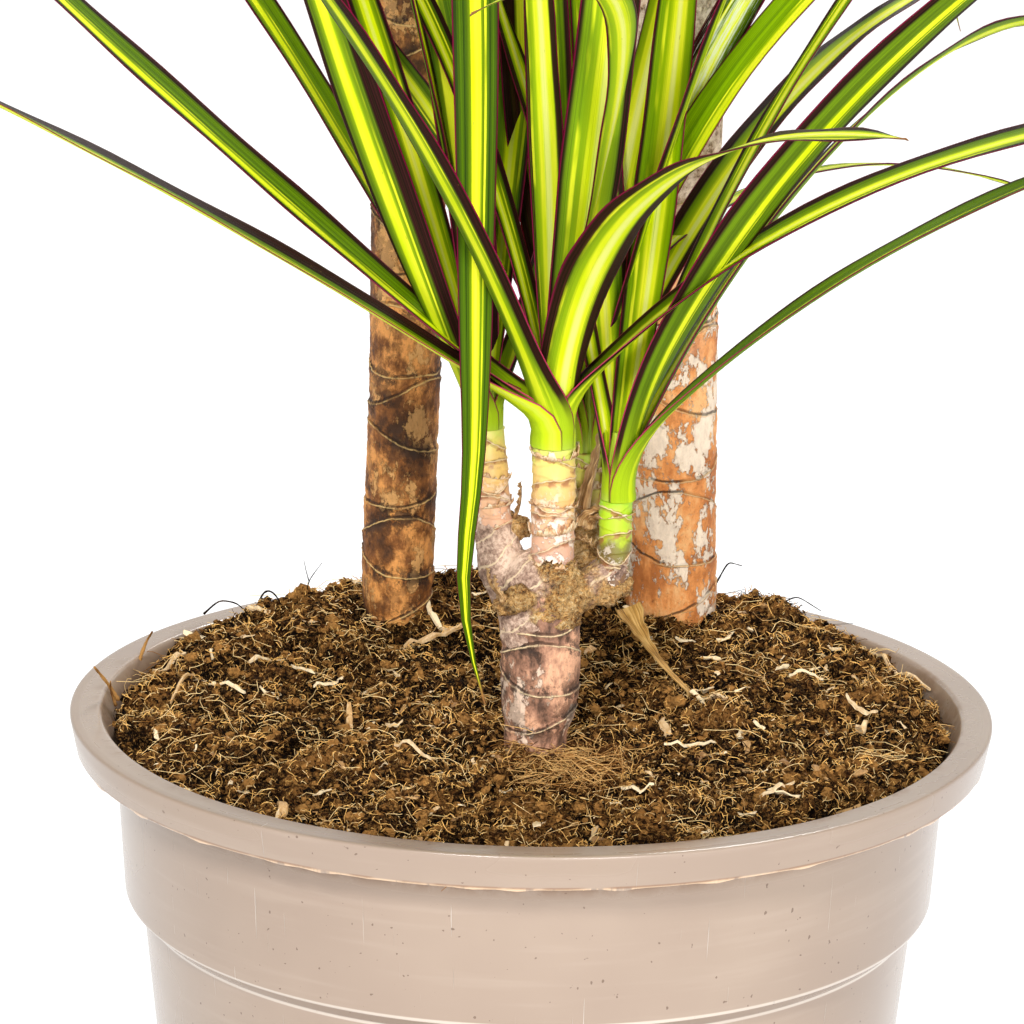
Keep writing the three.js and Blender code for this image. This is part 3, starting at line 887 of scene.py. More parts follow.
felt = fibre_finish("brown felt", (0.003, 0.001, 0.0004), (0.12, 0.044, 0.009), (0.92, 0.53, 0.16))
golden = fibre_finish("golden root", (0.010, 0.004, 0.001), (0.32, 0.135, 0.03), (1.0, 0.72, 0.34))
hair = fibre_finish("hair root", (0.07, 0.026, 0.007), (0.38, 0.17, 0.045), (0.74, 0.44, 0.16))
fibre_nodes = fibre_tree()
for name, seed, density, shortest, longest, thickness, curl, tip, finish, centre, reach in [
    ("peat_felt_1", 11, 205000.0, 0.0010, 0.0042, 0.00010, 0.0030, 2.0, felt, (0, 0), WHOLE_BED),
    ("peat_felt_2", 19, 205000.0, 0.0008, 0.0034, 0.00008, 0.0020, 2.2, felt, (0, 0), WHOLE_BED),
    ("peat_felt_3", 35, 205000.0, 0.0008, 0.0036, 0.00007, 0.0020, 2.2, golden, (0, 0), WHOLE_BED),
    ("peat_felt_4", 63, 205000.0, 0.0008, 0.0032, 0.00008, 0.0020, 2.6, felt, (0, 0), WHOLE_BED),
    ("root_fibres", 27, 52000.0, 0.003, 0.016, 0.00008, 0.007, 0.8, golden, (0, 0), WHOLE_BED),
    ("hair_roots", 51, 950000.0, 0.007, 0.020, 0.00009, 0.006, 1.1, hair, (9, -35), 13),
]:
    fibres = bed_top(name, centre, reach)
    run_tree(fibres, fibre_nodes, {
        "Density": density, "Seed": seed, "Smallest": shortest, "Largest": longest, "Lift": 0.0022,
        "Tip": tip, "Thickness": thickness, "Curl": curl, "Material": finish,
    })
    settle(fibres, "potting_soil")


# %% [markdown]
# Straw chips are flat splinters. A cube drawn out and nudged by noise is enough at their size. The
# few long sticks are flat and bent too, and are listed where they catch the eye.


# %% Straw chips
def chip_tree():
    recipe = Recipe("chips", SCATTER_INPUTS)
    slab = recipe.add("GeometryNodeMeshCube", None, {
        "Size": (1.0, 0.2, 0.06), "Vertices X": 5, "Vertices Y": 2, "Vertices Z": 2,
    })
    return recipe.end(shaken(recipe, scattered(recipe, slab, 1.0), (330.0, 0.0035)))


def straw_finish():
    paint = Paint("straw")
    place = paint.place()
    grain = (place * (1.0, 0.4, 1.0)).noise(900, 4, 0.7)
    # The shade attribute is each chip's or stick's own tone and, for scattered chips, painted shade on the
    # ones that lie low.
    paint.color = paint.ramp(paint.clamp(paint.attribute("shade") * 0.8 + grain * 0.7 - 0.3), [
        (0.0, (0.16, 0.065, 0.018)), (0.40, (0.50, 0.28, 0.10)), (0.80, (0.90, 0.72, 0.46)),
    ])
    return paint.finish(0.75, grain, 0.3)


straw = straw_finish()
chips = bed_top("straw_chips")
run_tree(chips, chip_tree(), {
    "Density": 20000.0, "Seed": 41, "Smallest": 0.0008, "Largest": 0.0078, "Lift": 0.0015, "Tip": 0.9,
    "Material": straw,
})
settle(chips, "potting_soil")

# %% Long sticks
STICKS = [
    ((-54, -58), (-53, -67), 2.4), ((-28, 58), (-20, 44), 1.5), ((-42, -6), (-40, -14), 1.6),
    ((-33, -9), (-29, -10), 1.4), ((81, 46), (93, 24), 1.2), ((41, 5), (44, -3), 1.3),
    ((-66, 20), (-58, 30), 1.6), ((-30, 34), (-16, 46), 2.6), ((-6, -88), (-5, -83), 2.0),
    ((72, 2), (79, -3), 1.8), ((30, -20), (42, -21), 0.9), ((-74, 8), (-66, 2), 1.2),
    ((-83, 2), (-78, 14), 0.9), ((60, 20), (68, 22), 1.0), ((-50, 8), (-44, 12), 1.2),
    ((76, -6), (74, -14), 1.6), ((20, -48), (27, -51), 0.9), ((-30, -30), (-22, -34), 1.0),
    ((50, -50), (58, -46), 1.1), ((-82, 34), (-89, 27), 1.5),
]


def stick(number, start, end, width):
    """A flat splinter that bends a little and narrows at both ends."""
    start, end = np.array(start, float), np.array(end, float)
    across = np.array([start[1] - end[1], end[0] - start[0]]) / np.linalg.norm(end - start)
    rings = []
    for step in range(9):
        share = step / 8
        middle = mix(start, end, share) + across * math.sin(share * 3 + number) * 0.5
        half = width / 2 * (0.45 + 0.55 * math.sin(math.pi * share)) * (0.8 + 0.4 * draw(number * 9 + step))
        level = bed_height(*middle) + 1.3 + 0.5 * math.sin(share * 5 + number)
        rings.append([(*(middle + across * half), level), (*(middle + across * half * 0.8), level + 0.5),
                      (*(middle - across * half * 0.8), level + 0.6), (*(middle - across * half), level)])
    thing = tube(f"stick_{number}", rings, np.arange(9), smooth=False)
    write(thing, "shade", np.full(36, 0.45 + 0.5 * draw(number)))
    return thing


sticks = join("straw_sticks", [stick(number, *each) for number, each in enumerate(STICKS)])
settle(sticks, "potting_soil", finish=straw)

# %% Stray roots
STRAYS = [
    ([(-94.9, 3.3, 198), (-96.8, -0.6, 203), (-99.3, -7.1, 209)], 0.55, 0.80),
    ([(-95.4, 2.3, 197), (-96.2, -1.6, 202), (-95.8, -5.1, 205)], 0.40, 0.70),
    ([(-93.0, 32.4, 198), (-90.9, 29.9, 204), (-89.0, 24.8, 208)], 0.50, 0.75),
    ([(-67.0, 62.8, 203), (-65.5, 58.6, 208), (-63.9, 57.0, 209.5), (-61.8, 54.8, 209), (-59.3, 56.4, 203)],
     0.35, 0.05),
    ([(-79.2, 54.2, 204), (-75.4, 52.7, 208), (-71.2, 53.9, 207), (-68.0, 56.0, 203)], 0.28, 0.45),
    ([(-55.5, 65.4, 205), (-54.3, 60.3, 211), (-52.5, 54.3, 215), (-50.5, 48.2, 219)], 0.16, 0.10),
    ([(-54.3, 60.3, 211), (-54.6, 52.4, 216), (-54.8, 46.9, 220)], 0.14, 0.15),
    ([(44.8, 86.8, 204), (47.9, 84.6, 211), (51.5, 88.4, 209)], 0.25, 0.05),
    ([(59.0, 70.0, 204), (64.0, 66.0, 208), (70.0, 67.0, 204)], 0.22, 0.30),
]


def strand(number, points, thick, shade):
    """A root through points. Smoothing rounds its bends, and it narrows to its end."""
    steps, sides = 16, 6
    points = np.array(points, float)
    place = np.linspace(0, len(points) - 1, steps)
    line = np.stack([np.interp(place, range(len(points)), points[:, axis]) for axis in range(3)], -1)
    for _ in range(3):
        line[1:-1] = (line[:-2] + 2 * line[1:-1] + line[2:]) / 4
    tangent = np.gradient(line, axis=0)
    side = np.cross(tangent, (0.3, 0.2, 1.0))
    side /= np.linalg.norm(side, axis=1)[:, None]
    other = np.cross(side, tangent)
    other /= np.linalg.norm(other, axis=1)[:, None]
    angle = angles(sides)[:, None]
    rings = []
    for step in range(steps):
        radius = thick * (1 - 0.6 * step / steps) * (0.8 + 0.4 * draw(number * 20 + step))
        rings.append(line[step] + radius * (np.cos(angle) * side[step] - np.sin(angle) * other[step]))
    thing = tube(f"strand_{number}", rings, np.arange(steps))
    write(thing, "shade", np.full(steps * sides, shade))
    return thing


strays = join("stray_roots", [strand(number, *each) for number, each in enumerate(STRAYS)])
dark_root = fibre_finish("dark root", (0.010, 0.004, 0.0015), (0.16, 0.065, 0.018), (0.50, 0.26, 0.08))
settle(strays, "potting_soil", finish=dark_root)

# %% [markdown]
# ## The canes
# A dracaena's cane is ringed by the scars of the leaves it has shed. Each scar goes once round, a
# little tilted, and the next one tilts another way, so that they seem to cross. One rule gives the
# height of a scar at any angle. The mesh raises a lip there, and the bark's material draws the same
# line from the UV map, so the colour is sharper than the mesh could hold.

# %% One rule for the scars
SCAR_STEP = 2.4
SOIL_LEVEL = 200
PLANTED_DEPTH = 70
ROOTED_INWARD = 0.82


def scar_level(number, angle, spacing, slant, cos=np.cos, sin=np.sin):
    """The level of a scar at an angle round the cane: a tilted ring with one soft peak."""
    turned = angle - number * SCAR_STEP
    tilt = cos(turned) + 0.28 * cos(2 * turned)
    return spacing * (number + 0.5 + 0.18 * sin(number * 1.7)) + slant * tilt


def nearest_scar(graph, height, turn, spacing, slant):
    """In a material: millimetres to the nearest scar, and to the nearest line just above one."""
    number = graph.math("FLOOR", height / spacing)
    nearest = above = None
    for step in (-1, 0, 1):
        level = scar_level(
            number + step, turn * TURN, spacing, slant,
            lambda value: graph.math("COSINE", value), lambda value: graph.math("SINE", value),
        )
        away = height - level
        distance = abs(away)
        over = abs(away - 0.55)
        nearest = distance if nearest is None else graph.math("MINIMUM", nearest, distance)
        above = over if above is None else graph.math("MINIMUM", above, over)
    return nearest, above


def cane_middle(cane, height):
    """The cane's axis at a height."""
    foot, head = np.array(cane["foot"]), np.array(cane["head"])
    share = (height - SOIL_LEVEL) / (cane["top"] - SOIL_LEVEL)
    if share < 0:
        return foot * mix(1, ROOTED_INWARD, (SOIL_LEVEL - height) / PLANTED_DEPTH)
    return mix(foot, head, share) + np.array([4 * cane["sag"] * share * (1 - share), 0])


def bark_lift(cane, height, angle):
    """How far the bark stands out: a lip at each scar, a groove over it and a swelling under it."""
    over_soil = height - SOIL_LEVEL
    near = math.floor(over_soil / cane["spacing"])
    lift = 0
    for number in range(near - 1, near + 2):
        away = over_soil - scar_level(number, angle, cane["spacing"], cane["slant"])
        lift += 0.30 * np.exp(-((away / 0.42) ** 2)) - 0.24 * np.exp(-(((away - 1.2) / 0.9) ** 2))
        lift += 0.14 * np.exp(-(((away + 1.6) / 1.4) ** 2))
    return lift


# %% A cane's body
BARE_BELOW = SOIL_LEVEL - 8
PICTURE_TOP = SOIL_LEVEL + 135
CANE_SIDES = 104


def cane_body(name, cane):
    """Rings are close where the picture shows the cane, and wider apart above and below."""
    low, top = SOIL_LEVEL - PLANTED_DEPTH, cane["top"]
    seen = min(top, PICTURE_TOP)
    stretches = [(low, BARE_BELOW, 6.0), (BARE_BELOW, seen, 0.6), (seen, top, 2.0)]
    levels = np.concatenate([np.arange(*stretch) for stretch in stretches] + [[top]])
    angle = angles(CANE_SIDES)
    rings = []
    for level in levels:
        share = (level - low) / (top - low)
        middle = cane_middle(cane, level)
        foot = 1 - cane["foot_taper"] * min(1, math.exp(-(level - SOIL_LEVEL - 2) / 4.5))
        radius = cane["radius"] * mix(1.03, 0.95, share) * foot + bark_lift(cane, level, angle)
        radius = radius * (
            1 + 0.025 * np.sin(2 * angle + level / 23) + 0.015 * np.sin(3 * angle - level / 11)
        )
        spots = [Vector((7 * math.cos(a), 7 * math.sin(a), level / 2.2)) for a in angle]
        radius = radius + 0.2 * np.array([noise.fractal(spot, 0.9, 2.0, 4) for spot in spots])
        rings.append(ring_of(middle, radius, angle, level))
    return tube(name, rings, levels - SOIL_LEVEL)


CANES = {
    "left": {"foot": (-33, 58), "head": (-30, 57), "sag": 1, "radius": 8.6, "top": 500, "spacing": 10.5,
             "slant": 3.4, "foot_taper": 0.22},
    "right": {"foot": (33.5, 66), "head": (37, 64), "sag": -4.4, "radius": 11, "top": 690, "spacing": 12.5,
              "slant": 4.2, "foot_taper": 0.05},
    "short": {"foot": (1, -24), "head": (1, -22), "sag": 1, "radius": 9.2, "top": 234, "spacing": 8.2,
              "slant": 2.6, "foot_taper": 0.24},
}


# %% [markdown]
# Old bark is never one colour. It goes from brown to orange in clouds, pale skin flakes off it in
# upright patches, and black rot marks gather by the scars. The three canes share one recipe with
# their own colours.


# %% Bark
def bark_finish(name, cane, tones, flake, flake_share, scar, blotch_share, grey_above=None, flake_size=210):
    """Bark in three tones, with flakes, dark blotches, and scars that follow the cane's rule, with a painted
    shadow over them in places.
    """
    paint = Paint(name)
    place = paint.place()
    turn, along = paint.flat()
    wander = (place.noise(150, 4, 0.6) - 0.5) * 1.6
    height = along / MM + wander
    nearest, above = nearest_scar(paint, height, turn, cane["spacing"], cane["slant"])
    cloud = (place * (1.0, 1.0, 0.8)).noise(75, 5, 0.66)
    streak = (place * (1.0, 1.0, 0.45)).noise(520, 5, 0.74)
    speckle = place.noise(1500, 3, 0.7)
    paint.color = paint.ramp(cloud * 0.75 + streak * 0.25, list(zip((0.415, 0.49, 0.565), tones)))
    paint.lay(speckle.rise(0.56, 0.70) * 0.35, tuple(0.3 * c for c in tones[0]))
    flakes = (place * (1.0, 1.0, 0.6) + (3.0, 1.0, 2.0)).noise(flake_size, 7, 0.72)
    patch = (place + (1.0, 5.0, 0.0)).noise(42, 2)
    flake_mask = (flakes * 0.65 + patch * 0.35).rise(1 - flake_share, 1 - flake_share + 0.02)
    flake_tone = paint.blend(streak.rise(0.35, 0.65), tuple(0.82 * c for c in flake), flake)
    paint.lay(flake_mask * 0.92, flake_tone)
    if grey_above is not None:
        high = (height + (patch - 0.5) * 60).rise(*grey_above)
        grey = paint.ramp(place.noise(420, 6, 0.75), [
            (0.38, (0.06, 0.035, 0.025)), (0.44, (0.46, 0.33, 0.24)), (0.60, (0.92, 0.78, 0.65)),
        ])
        paint.lay(high * 0.85, grey)
    near_scar = nearest.fall(0.5, 3.4)
    blotches = (place + (7.0, 0.0, 0.0)).noise(130, 6, 0.76).rise(1 - blotch_share, 1.05 - blotch_share)
    paint.lay(paint.clamp(blotches * (near_scar * 0.45 + 0.35)), (0.020, 0.011, 0.007))
    # Painted shadow: a dark line just over each scar, broken by noise, for the shade in the groove over the
    # lip.
    present = place.noise(95, 3)
    painted_groove_shadow = above.fall(0.05, 0.40) * present.rise(0.36, 0.60)
    paint.lay(painted_groove_shadow * 0.85, (0.035, 0.016, 0.008))
    lip = nearest.fall(0.05, 0.34) * (1 - present.rise(0.48, 0.62) * 0.8)
    paint.lay(lip * streak.rise(0.30, 0.5) * 0.9, scar)
    bump = streak * 0.6 + speckle * 0.2 + cloud * 0.3 + lip * 0.4 - painted_groove_shadow * 0.5
    bump = bump + flake_mask * 0.4 - blotches * 0.15
    return paint.finish(0.66, bump, 0.7, {"Specular IOR Level": 0.35})


left_bark = bark_finish(
    "tan bark", CANES["left"], [(0.075, 0.026, 0.006), (0.26, 0.092, 0.020), (0.78, 0.34, 0.09)],
    (0.78, 0.41, 0.14), 0.46, (0.84, 0.55, 0.22), 0.50, flake_size=130)
right_bark = bark_finish(
    "orange bark", CANES["right"], [(0.52, 0.17, 0.04), (0.80, 0.31, 0.085), (0.90, 0.49, 0.20)],
    (0.98, 0.82, 0.64), 0.485, (0.80, 0.50, 0.24), 0.38, (70, 105), 170)
short_bark = bark_finish(
    "grey pink bark", CANES["short"], [(0.10, 0.050, 0.030), (0.38, 0.19, 0.115), (0.78, 0.42, 0.25)],
    (0.84, 0.62, 0.46), 0.43, (0.90, 0.68, 0.40), 0.48, flake_size=190)

for side, finish in (("left", left_bark), ("right", right_bark), ("short", short_bark)):
    settle(cane_body(f"{side}_cane", CANES[side]), "cane_bark", f"cane_{side}", finish=finish)

# %% [markdown]
# The short cane was cut once and grew four shoots round the cut. Each shoot is a smooth young stem,
# pale at the top and browner below, with tight rings where its first leaves fell.

# %% Young stems
SHOOTS = {
    "middle": {"path": [(4, -24, 232), (4, -24, 267)], "radius": 4.9, "green": 0.0},
    "left": {"path": [(-8.5, -18.5, 243), (-11, -16, 269)], "radius": 4.0, "green": 0.0},
    "right": {"path": [(17.6, -20, 235), (18, -20, 254)], "radius": 3.8, "green": 1.0},
    "back": {"path": [(12, -9, 240), (12, -5, 261)], "radius": 3.3, "green": 0.5},
}
SHOOT_SPACING = 4.8
SHOOT_SLANT = 1.8
SHOOT_STEPS = 120
SHOOT_SIDES = 64


def shoot_body(name, shoot):
    start, end = map(np.array, shoot["path"])
    middle = mix(start, end, np.linspace(0, 1, SHOOT_STEPS)[:, None])
    angle = angles(SHOOT_SIDES)
    below = end[2] - middle[:, 2]
    rings = []
    for point, depth in zip(middle, below):
        lift = np.full(SHOOT_SIDES, -0.25)
        near = math.floor(depth / SHOOT_SPACING)
        for number in range(near - 1, near + 2):
            away = depth - scar_level(number, angle, SHOOT_SPACING, SHOOT_SLANT)
            section = np.clip(away / SHOOT_SPACING, 0, 1) * (away < SHOOT_SPACING)
            lift = lift + 0.26 * np.exp(-((away / 0.3) ** 2)) + 0.22 * section
        radius = shoot["radius"] * (1 + 0.03 * np.sin(2 * angle)) + lift
        rings.append(ring_of(point, radius, angle, point[2]))
    thing = tube(name, rings, below)
    write(thing, "green", np.full(SHOOT_STEPS * SHOOT_SIDES, shoot["green"]))
    return thing


def stem_finish():
    paint = Paint("young stem")
    place = paint.place()
    turn, below = paint.flat()
    below = below / MM
    green = paint.attribute("green")
    cloud = place.noise(190, 4, 0.6)
    fine = (place * (1.0, 1.0, 0.4)).noise(900, 3, 0.6)
    depth = below + (cloud - 0.5) * 14
    pale = paint.ramp(depth / 40, [
        (0.0, (0.62, 0.66, 0.12)), (0.10, (0.78, 0.57, 0.15)), (0.30, (0.74, 0.44, 0.16)),
        (0.44, (0.72, 0.40, 0.23)), (0.66, (0.60, 0.33, 0.23)), (0.9, (0.44, 0.26, 0.19)),
    ])
    leafy = paint.ramp(depth / 40, [
        (0.0, (0.34, 0.60, 0.01)), (0.18, (0.44, 0.56, 0.015)),
        (0.26, (0.20, 0.18, 0.025)), (0.40, (0.17, 0.08, 0.03)),
    ])
    paint.color = paint.blend(green, pale, leafy)
    wander = (place.noise(380, 3) - 0.5) * 1.5
    nearest, above = nearest_scar(paint, below + wander, turn, SHOOT_SPACING, SHOOT_SLANT)
    paper = place.noise(340, 5, 0.75).rise(0.50, 0.54) * depth.rise(8, 17)
    paint.lay(paper * 0.75, (0.86, 0.74, 0.62))
    rust = (place + (2.0, 0.0, 1.0)).noise(420, 4).rise(0.50, 0.58) * above.fall(0.3, 1.5)
    paint.lay(rust * 0.8, (0.33, 0.11, 0.035))
    paint.lay(above.fall(0.15, 0.5) * 0.45, (0.30, 0.13, 0.05))
    line = nearest.fall(0.08, 0.26)
    paint.lay(line * 0.85, (0.78, 0.58, 0.34))
    bump = fine * 0.3 + line * 0.5 + paper * 0.5
    return paint.finish(0.48, bump, 0.35)


young_stems = join("young_stems", [shoot_body(f"shoot_{name}", shoot) for name, shoot in SHOOTS.items()])
settle(young_stems, "cane_bark", finish=stem_finish())

# %% [markdown]
# Round the cut the wood swelled and healed: a thick grey branch carries the left shoot, thinner ones
# the right and back shoots, and a corky cup holds the middle one. Chains of balls give their bulk, a
# voxel remesh fuses them into one skin, and noise roughens it. Each point keeps how corky it is.

# %% The healed wood
BRANCHES = [
    {"path": [(1, -22.5, 225), (0.6, -22.5, 234.5)], "radii": (8.6, 8.6), "cork": 0.1},
    {"path": [(-2, -22, 231), (-7, -19.5, 238), (-9.2, -18, 247)], "radii": (6.6, 5.6, 4.1), "cork": 0.2},
    {"path": [(6, -22, 232), (13, -20.5, 234.5), (17.4, -20, 238)], "radii": (5.6, 4.3, 3.9), "cork": 0.45},
    {"path": [(6, -17, 231), (10.5, -12, 238), (12, -8, 244)], "radii": (5.4, 4.6, 3.7), "cork": 0.9},
    {"path": [(4, -24, 231), (4, -24, 238)], "radii": (7.6, 6.1), "cork": 1.0},
    {"path": [(-6, -28.5, 232), (-3, -31, 234)], "radii": (2.6, 3.0), "cork": 1.0},
    {"path": [(-4, -16, 246), (-7, -13, 247)], "radii": (3.0, 2.6), "cork": 1.0},
    {"path": [(16, -21.5, 233), (20, -20.5, 235)], "radii": (3.2, 2.4), "cork": 0.8},
]
HEALED_VOXEL = 0.42


def along_path(points, share):
    """A point, or a size, at a share of a chain of them."""
    points = np.asarray(points, float)
    place = share * (len(points) - 1)
    index = min(int(place), len(points) - 2)
    return mix(points[index], points[index + 1], place - index)


def healed_wood():
    balls = []
    for number, branch in enumerate(BRANCHES):
        for step in range(9):
            centre = along_path(branch["path"], step / 8)
            radius = along_path(branch["radii"], step / 8)
            ball = bmesh.new()
            bmesh.ops.create_icosphere(ball, subdivisions=3, radius=radius)
            points = [centre + np.array(vertex.co) for vertex in ball.verts]
            faces = [[vertex.index for vertex in face.verts] for face in ball.faces]
            ball.free()
            balls.append(mesh_object(f"ball_{number}_{step}", points, faces))
    thing = join("healed_wood", balls)
    remesh = thing.modifiers.new("fuse", "REMESH")
    remesh.mode = "VOXEL"
    remesh.voxel_size = HEALED_VOXEL * MM
    smooth = thing.modifiers.new("soften", "SMOOTH")
    smooth.iterations = 9
    return apply_modifiers(thing)


wood = healed_wood()
corky, along = [], []
for vertex in wood.data.vertices:
    spot = np.array(vertex.co) / MM
    weights = []
    for branch in BRANCHES:
        reach = [np.linalg.norm(spot - along_path(branch["path"], share)) - along_path(branch["radii"], share)
                 for share in (0, 0.25, 0.5, 0.75, 1)]
        weights.append(math.exp(-max(0, min(reach)) / 0.8))
    corky.append(sum(weight * branch["cork"] for weight, branch in zip(weights, BRANCHES)) / sum(weights))
    along.append(spot[2] * 0.75 - spot[0] * 0.65)
normals = [vertex.normal.copy() for vertex in wood.data.vertices]
for vertex, normal, cork_share in zip(wood.data.vertices, normals, corky):
    spot = vertex.co / MM
    smooth_part = 0.35 * noise.fractal(spot / 3.2, 1.0, 2.0, 4)
    rough_part = 1.0 * noise.fractal(spot / 2.0, 0.8, 2.2, 4) + 0.35 * noise.fractal(spot / 0.8, 0.7, 2.0, 2)
    vertex.co += normal * (smooth_part + rough_part * cork_share) * MM
wood.data.polygons.foreach_set("use_smooth", [True] * len(wood.data.polygons))
write(wood, "cork", corky)
write(wood, "along", along)


def healed_finish():
    paint = Paint("healed wood")
    place = paint.place()
    cloud = place.noise(150, 4, 0.6)
    fine = place.noise(1100, 5, 0.72)
    bark = paint.ramp(cloud * 0.5 + fine * 0.5, [
        (0.38, (0.10, 0.058, 0.042)), (0.48, (0.36, 0.225, 0.16)), (0.59, (0.72, 0.52, 0.39)),
    ])
    level = paint.attribute("along") + (place.noise(170, 3) - 0.5) * 5
    ring = abs(paint.math("FRACT", level / 4.6) - 0.5)
    bark = paint.blend(ring.fall(0.02, 0.07) * 0.8, bark, (0.80, 0.62, 0.40))
    cork = paint.ramp(cloud * 0.4 + fine * 0.6, [
        (0.38, (0.030, 0.012, 0.004)), (0.45, (0.30, 0.13, 0.035)),
        (0.53, (0.72, 0.40, 0.13)), (0.64, (0.95, 0.74, 0.42)),
    ])
    threads = threads_of(place)
    cork = paint.blend(threads * 0.6, cork, (0.88, 0.62, 0.30))
    mask = (paint.attribute("cork") + (cloud - 0.5) * 1.1).rise(0.40, 0.62)
    paint.color = paint.blend(mask, bark, cork)
    bump = fine * (0.5 + mask) + threads * mask * 0.6
    return paint.finish(0.85, bump, 0.9, {"Specular IOR Level": 0.25})


settle(wood, "cane_bark", finish=healed_finish())

# %% [markdown]
# The foot of each shed leaf stays for a while as a torn papery ring. It is a thin band round the
# stem, flared, with an edge that noise tears.

# %% Papery rings
RINGS = {
    "middle": [(1.6, 2.3), (13.5, 1.7), (19.0, 2.6), (27.0, 2.0)],
    "left": [(10.5, 1.3), (17.5, 1.8)],
    "right": [(3.6, 0.8)],
    "back": [(3.5, 1.4), (8.0, 2.4), (11.5, 2.8), (15.0, 2.0)],
}


PAPER_SIDES = 96


def papery_ring(shoot, depth, height, seed):
    start, end = map(np.array, SHOOTS[shoot]["path"])
    centre = mix(end, start, depth / (end[2] - start[2]))
    angle = angles(PAPER_SIDES)
    spots = [Vector((3 * math.cos(a), 3 * math.sin(a), seed)) for a in angle]
    torn = np.array([noise.fractal(spot, 0.7, 2.2, 4) for spot in spots])
    top = height * np.clip(0.45 + 1.1 * torn, 0.06, 1)
    base = 0.7 * np.cos(angle - seed * SCAR_STEP)
    radius = SHOOTS[shoot]["radius"] + 0.02
    rings = []
    for share, wide in ((0, 0.16), (0.5, 0.42), (1, 0.62), (1, 0.50), (0.5, 0.20), (0, -0.3)):
        reach = radius + wide + 0.25 * torn * share
        rings.append(ring_of(centre, reach, angle, centre[2] + base + top * share))
    index = np.arange(len(rings) * PAPER_SIDES).reshape(len(rings), PAPER_SIDES)
    ahead = np.roll(index, -1, axis=0)
    quads = np.stack([index, np.roll(index, -1, 1), np.roll(ahead, -1, 1), ahead], -1).reshape(-1, 4)
    return mesh_object(f"ring_{shoot}_{seed}", np.concatenate(rings), quads.tolist())


def paper_finish():
    paint = Paint("papery skin")
    place = paint.place()
    cloud = place.noise(420, 4, 0.7)
    streak = (place * (1.0, 1.0, 0.3)).noise(1500, 3, 0.7)
    paint.color = paint.ramp(cloud * 0.6 + streak * 0.4, [
        (0.36, (0.30, 0.12, 0.05)), (0.46, (0.58, 0.33, 0.15)), (0.58, (0.84, 0.68, 0.46)),
    ])
    return paint.finish(0.6, streak, 0.3)


papers = [papery_ring(shoot, depth, height, number + len(shoot))
          for shoot, rows in RINGS.items() for number, (depth, height) in enumerate(rows)]
settle(join("papery_rings", papers), "cane_bark", finish=paper_finish())

# %% [markdown]
# ## The leaves
# A leaf leaves its shoot upright, leans out past its clasping base and droops along its length. The
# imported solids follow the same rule, so the fine leaves lie where they do. Python walks along each
# leaf's midrib and writes what it finds on the points of a line: which way is across, how wide the
# leaf is there, how much it is channelled. Geometry Nodes then sweep a closed blade along all lines
# at once, which is the part that repeats.

# %% The rule of a leaf
LEAF_STEPS = 44
SHEATH_STEPS = 4
STEP_GROWTH = 1.3
ROOT_REACH = 2.2
ROOT_LIFT = 0.8
HANGING_TILT = 176
TIP_WIDTH = 0.5
LEAF_THICKNESS = 0.75
SHEATH_WRAP = 1.7
SHEATH_LENGTH = 13
TURNED_BY = 25


def leaf(heading, lean, droop, length, **more):
    """One leaf: angles in degrees, sizes in millimetres. See the walk for what each one does."""
    usual = {"width": 12, "sway": 0, "bend": 1, "clasp": 14, "rise": 3, "turned": 0, "roll": 0, "point": 3.2}
    return {**usual, "heading": heading, "lean": lean, "droop": droop, "length": length, **more}


def width_share(share, point):
    """Narrower at the clasping base, widest at a third, and pointed. A high power points it late."""
    return np.minimum(1, 0.6 + 0.4 * share / 0.3) * np.maximum(0, 1 - share**point)


# %% [markdown]
# At its foot a leaf is a sheath: an arc round the shoot, wider than half a turn, so that outer leaves
# hide the feet of the inner ones. Going up, the arc opens and flattens into the blade.


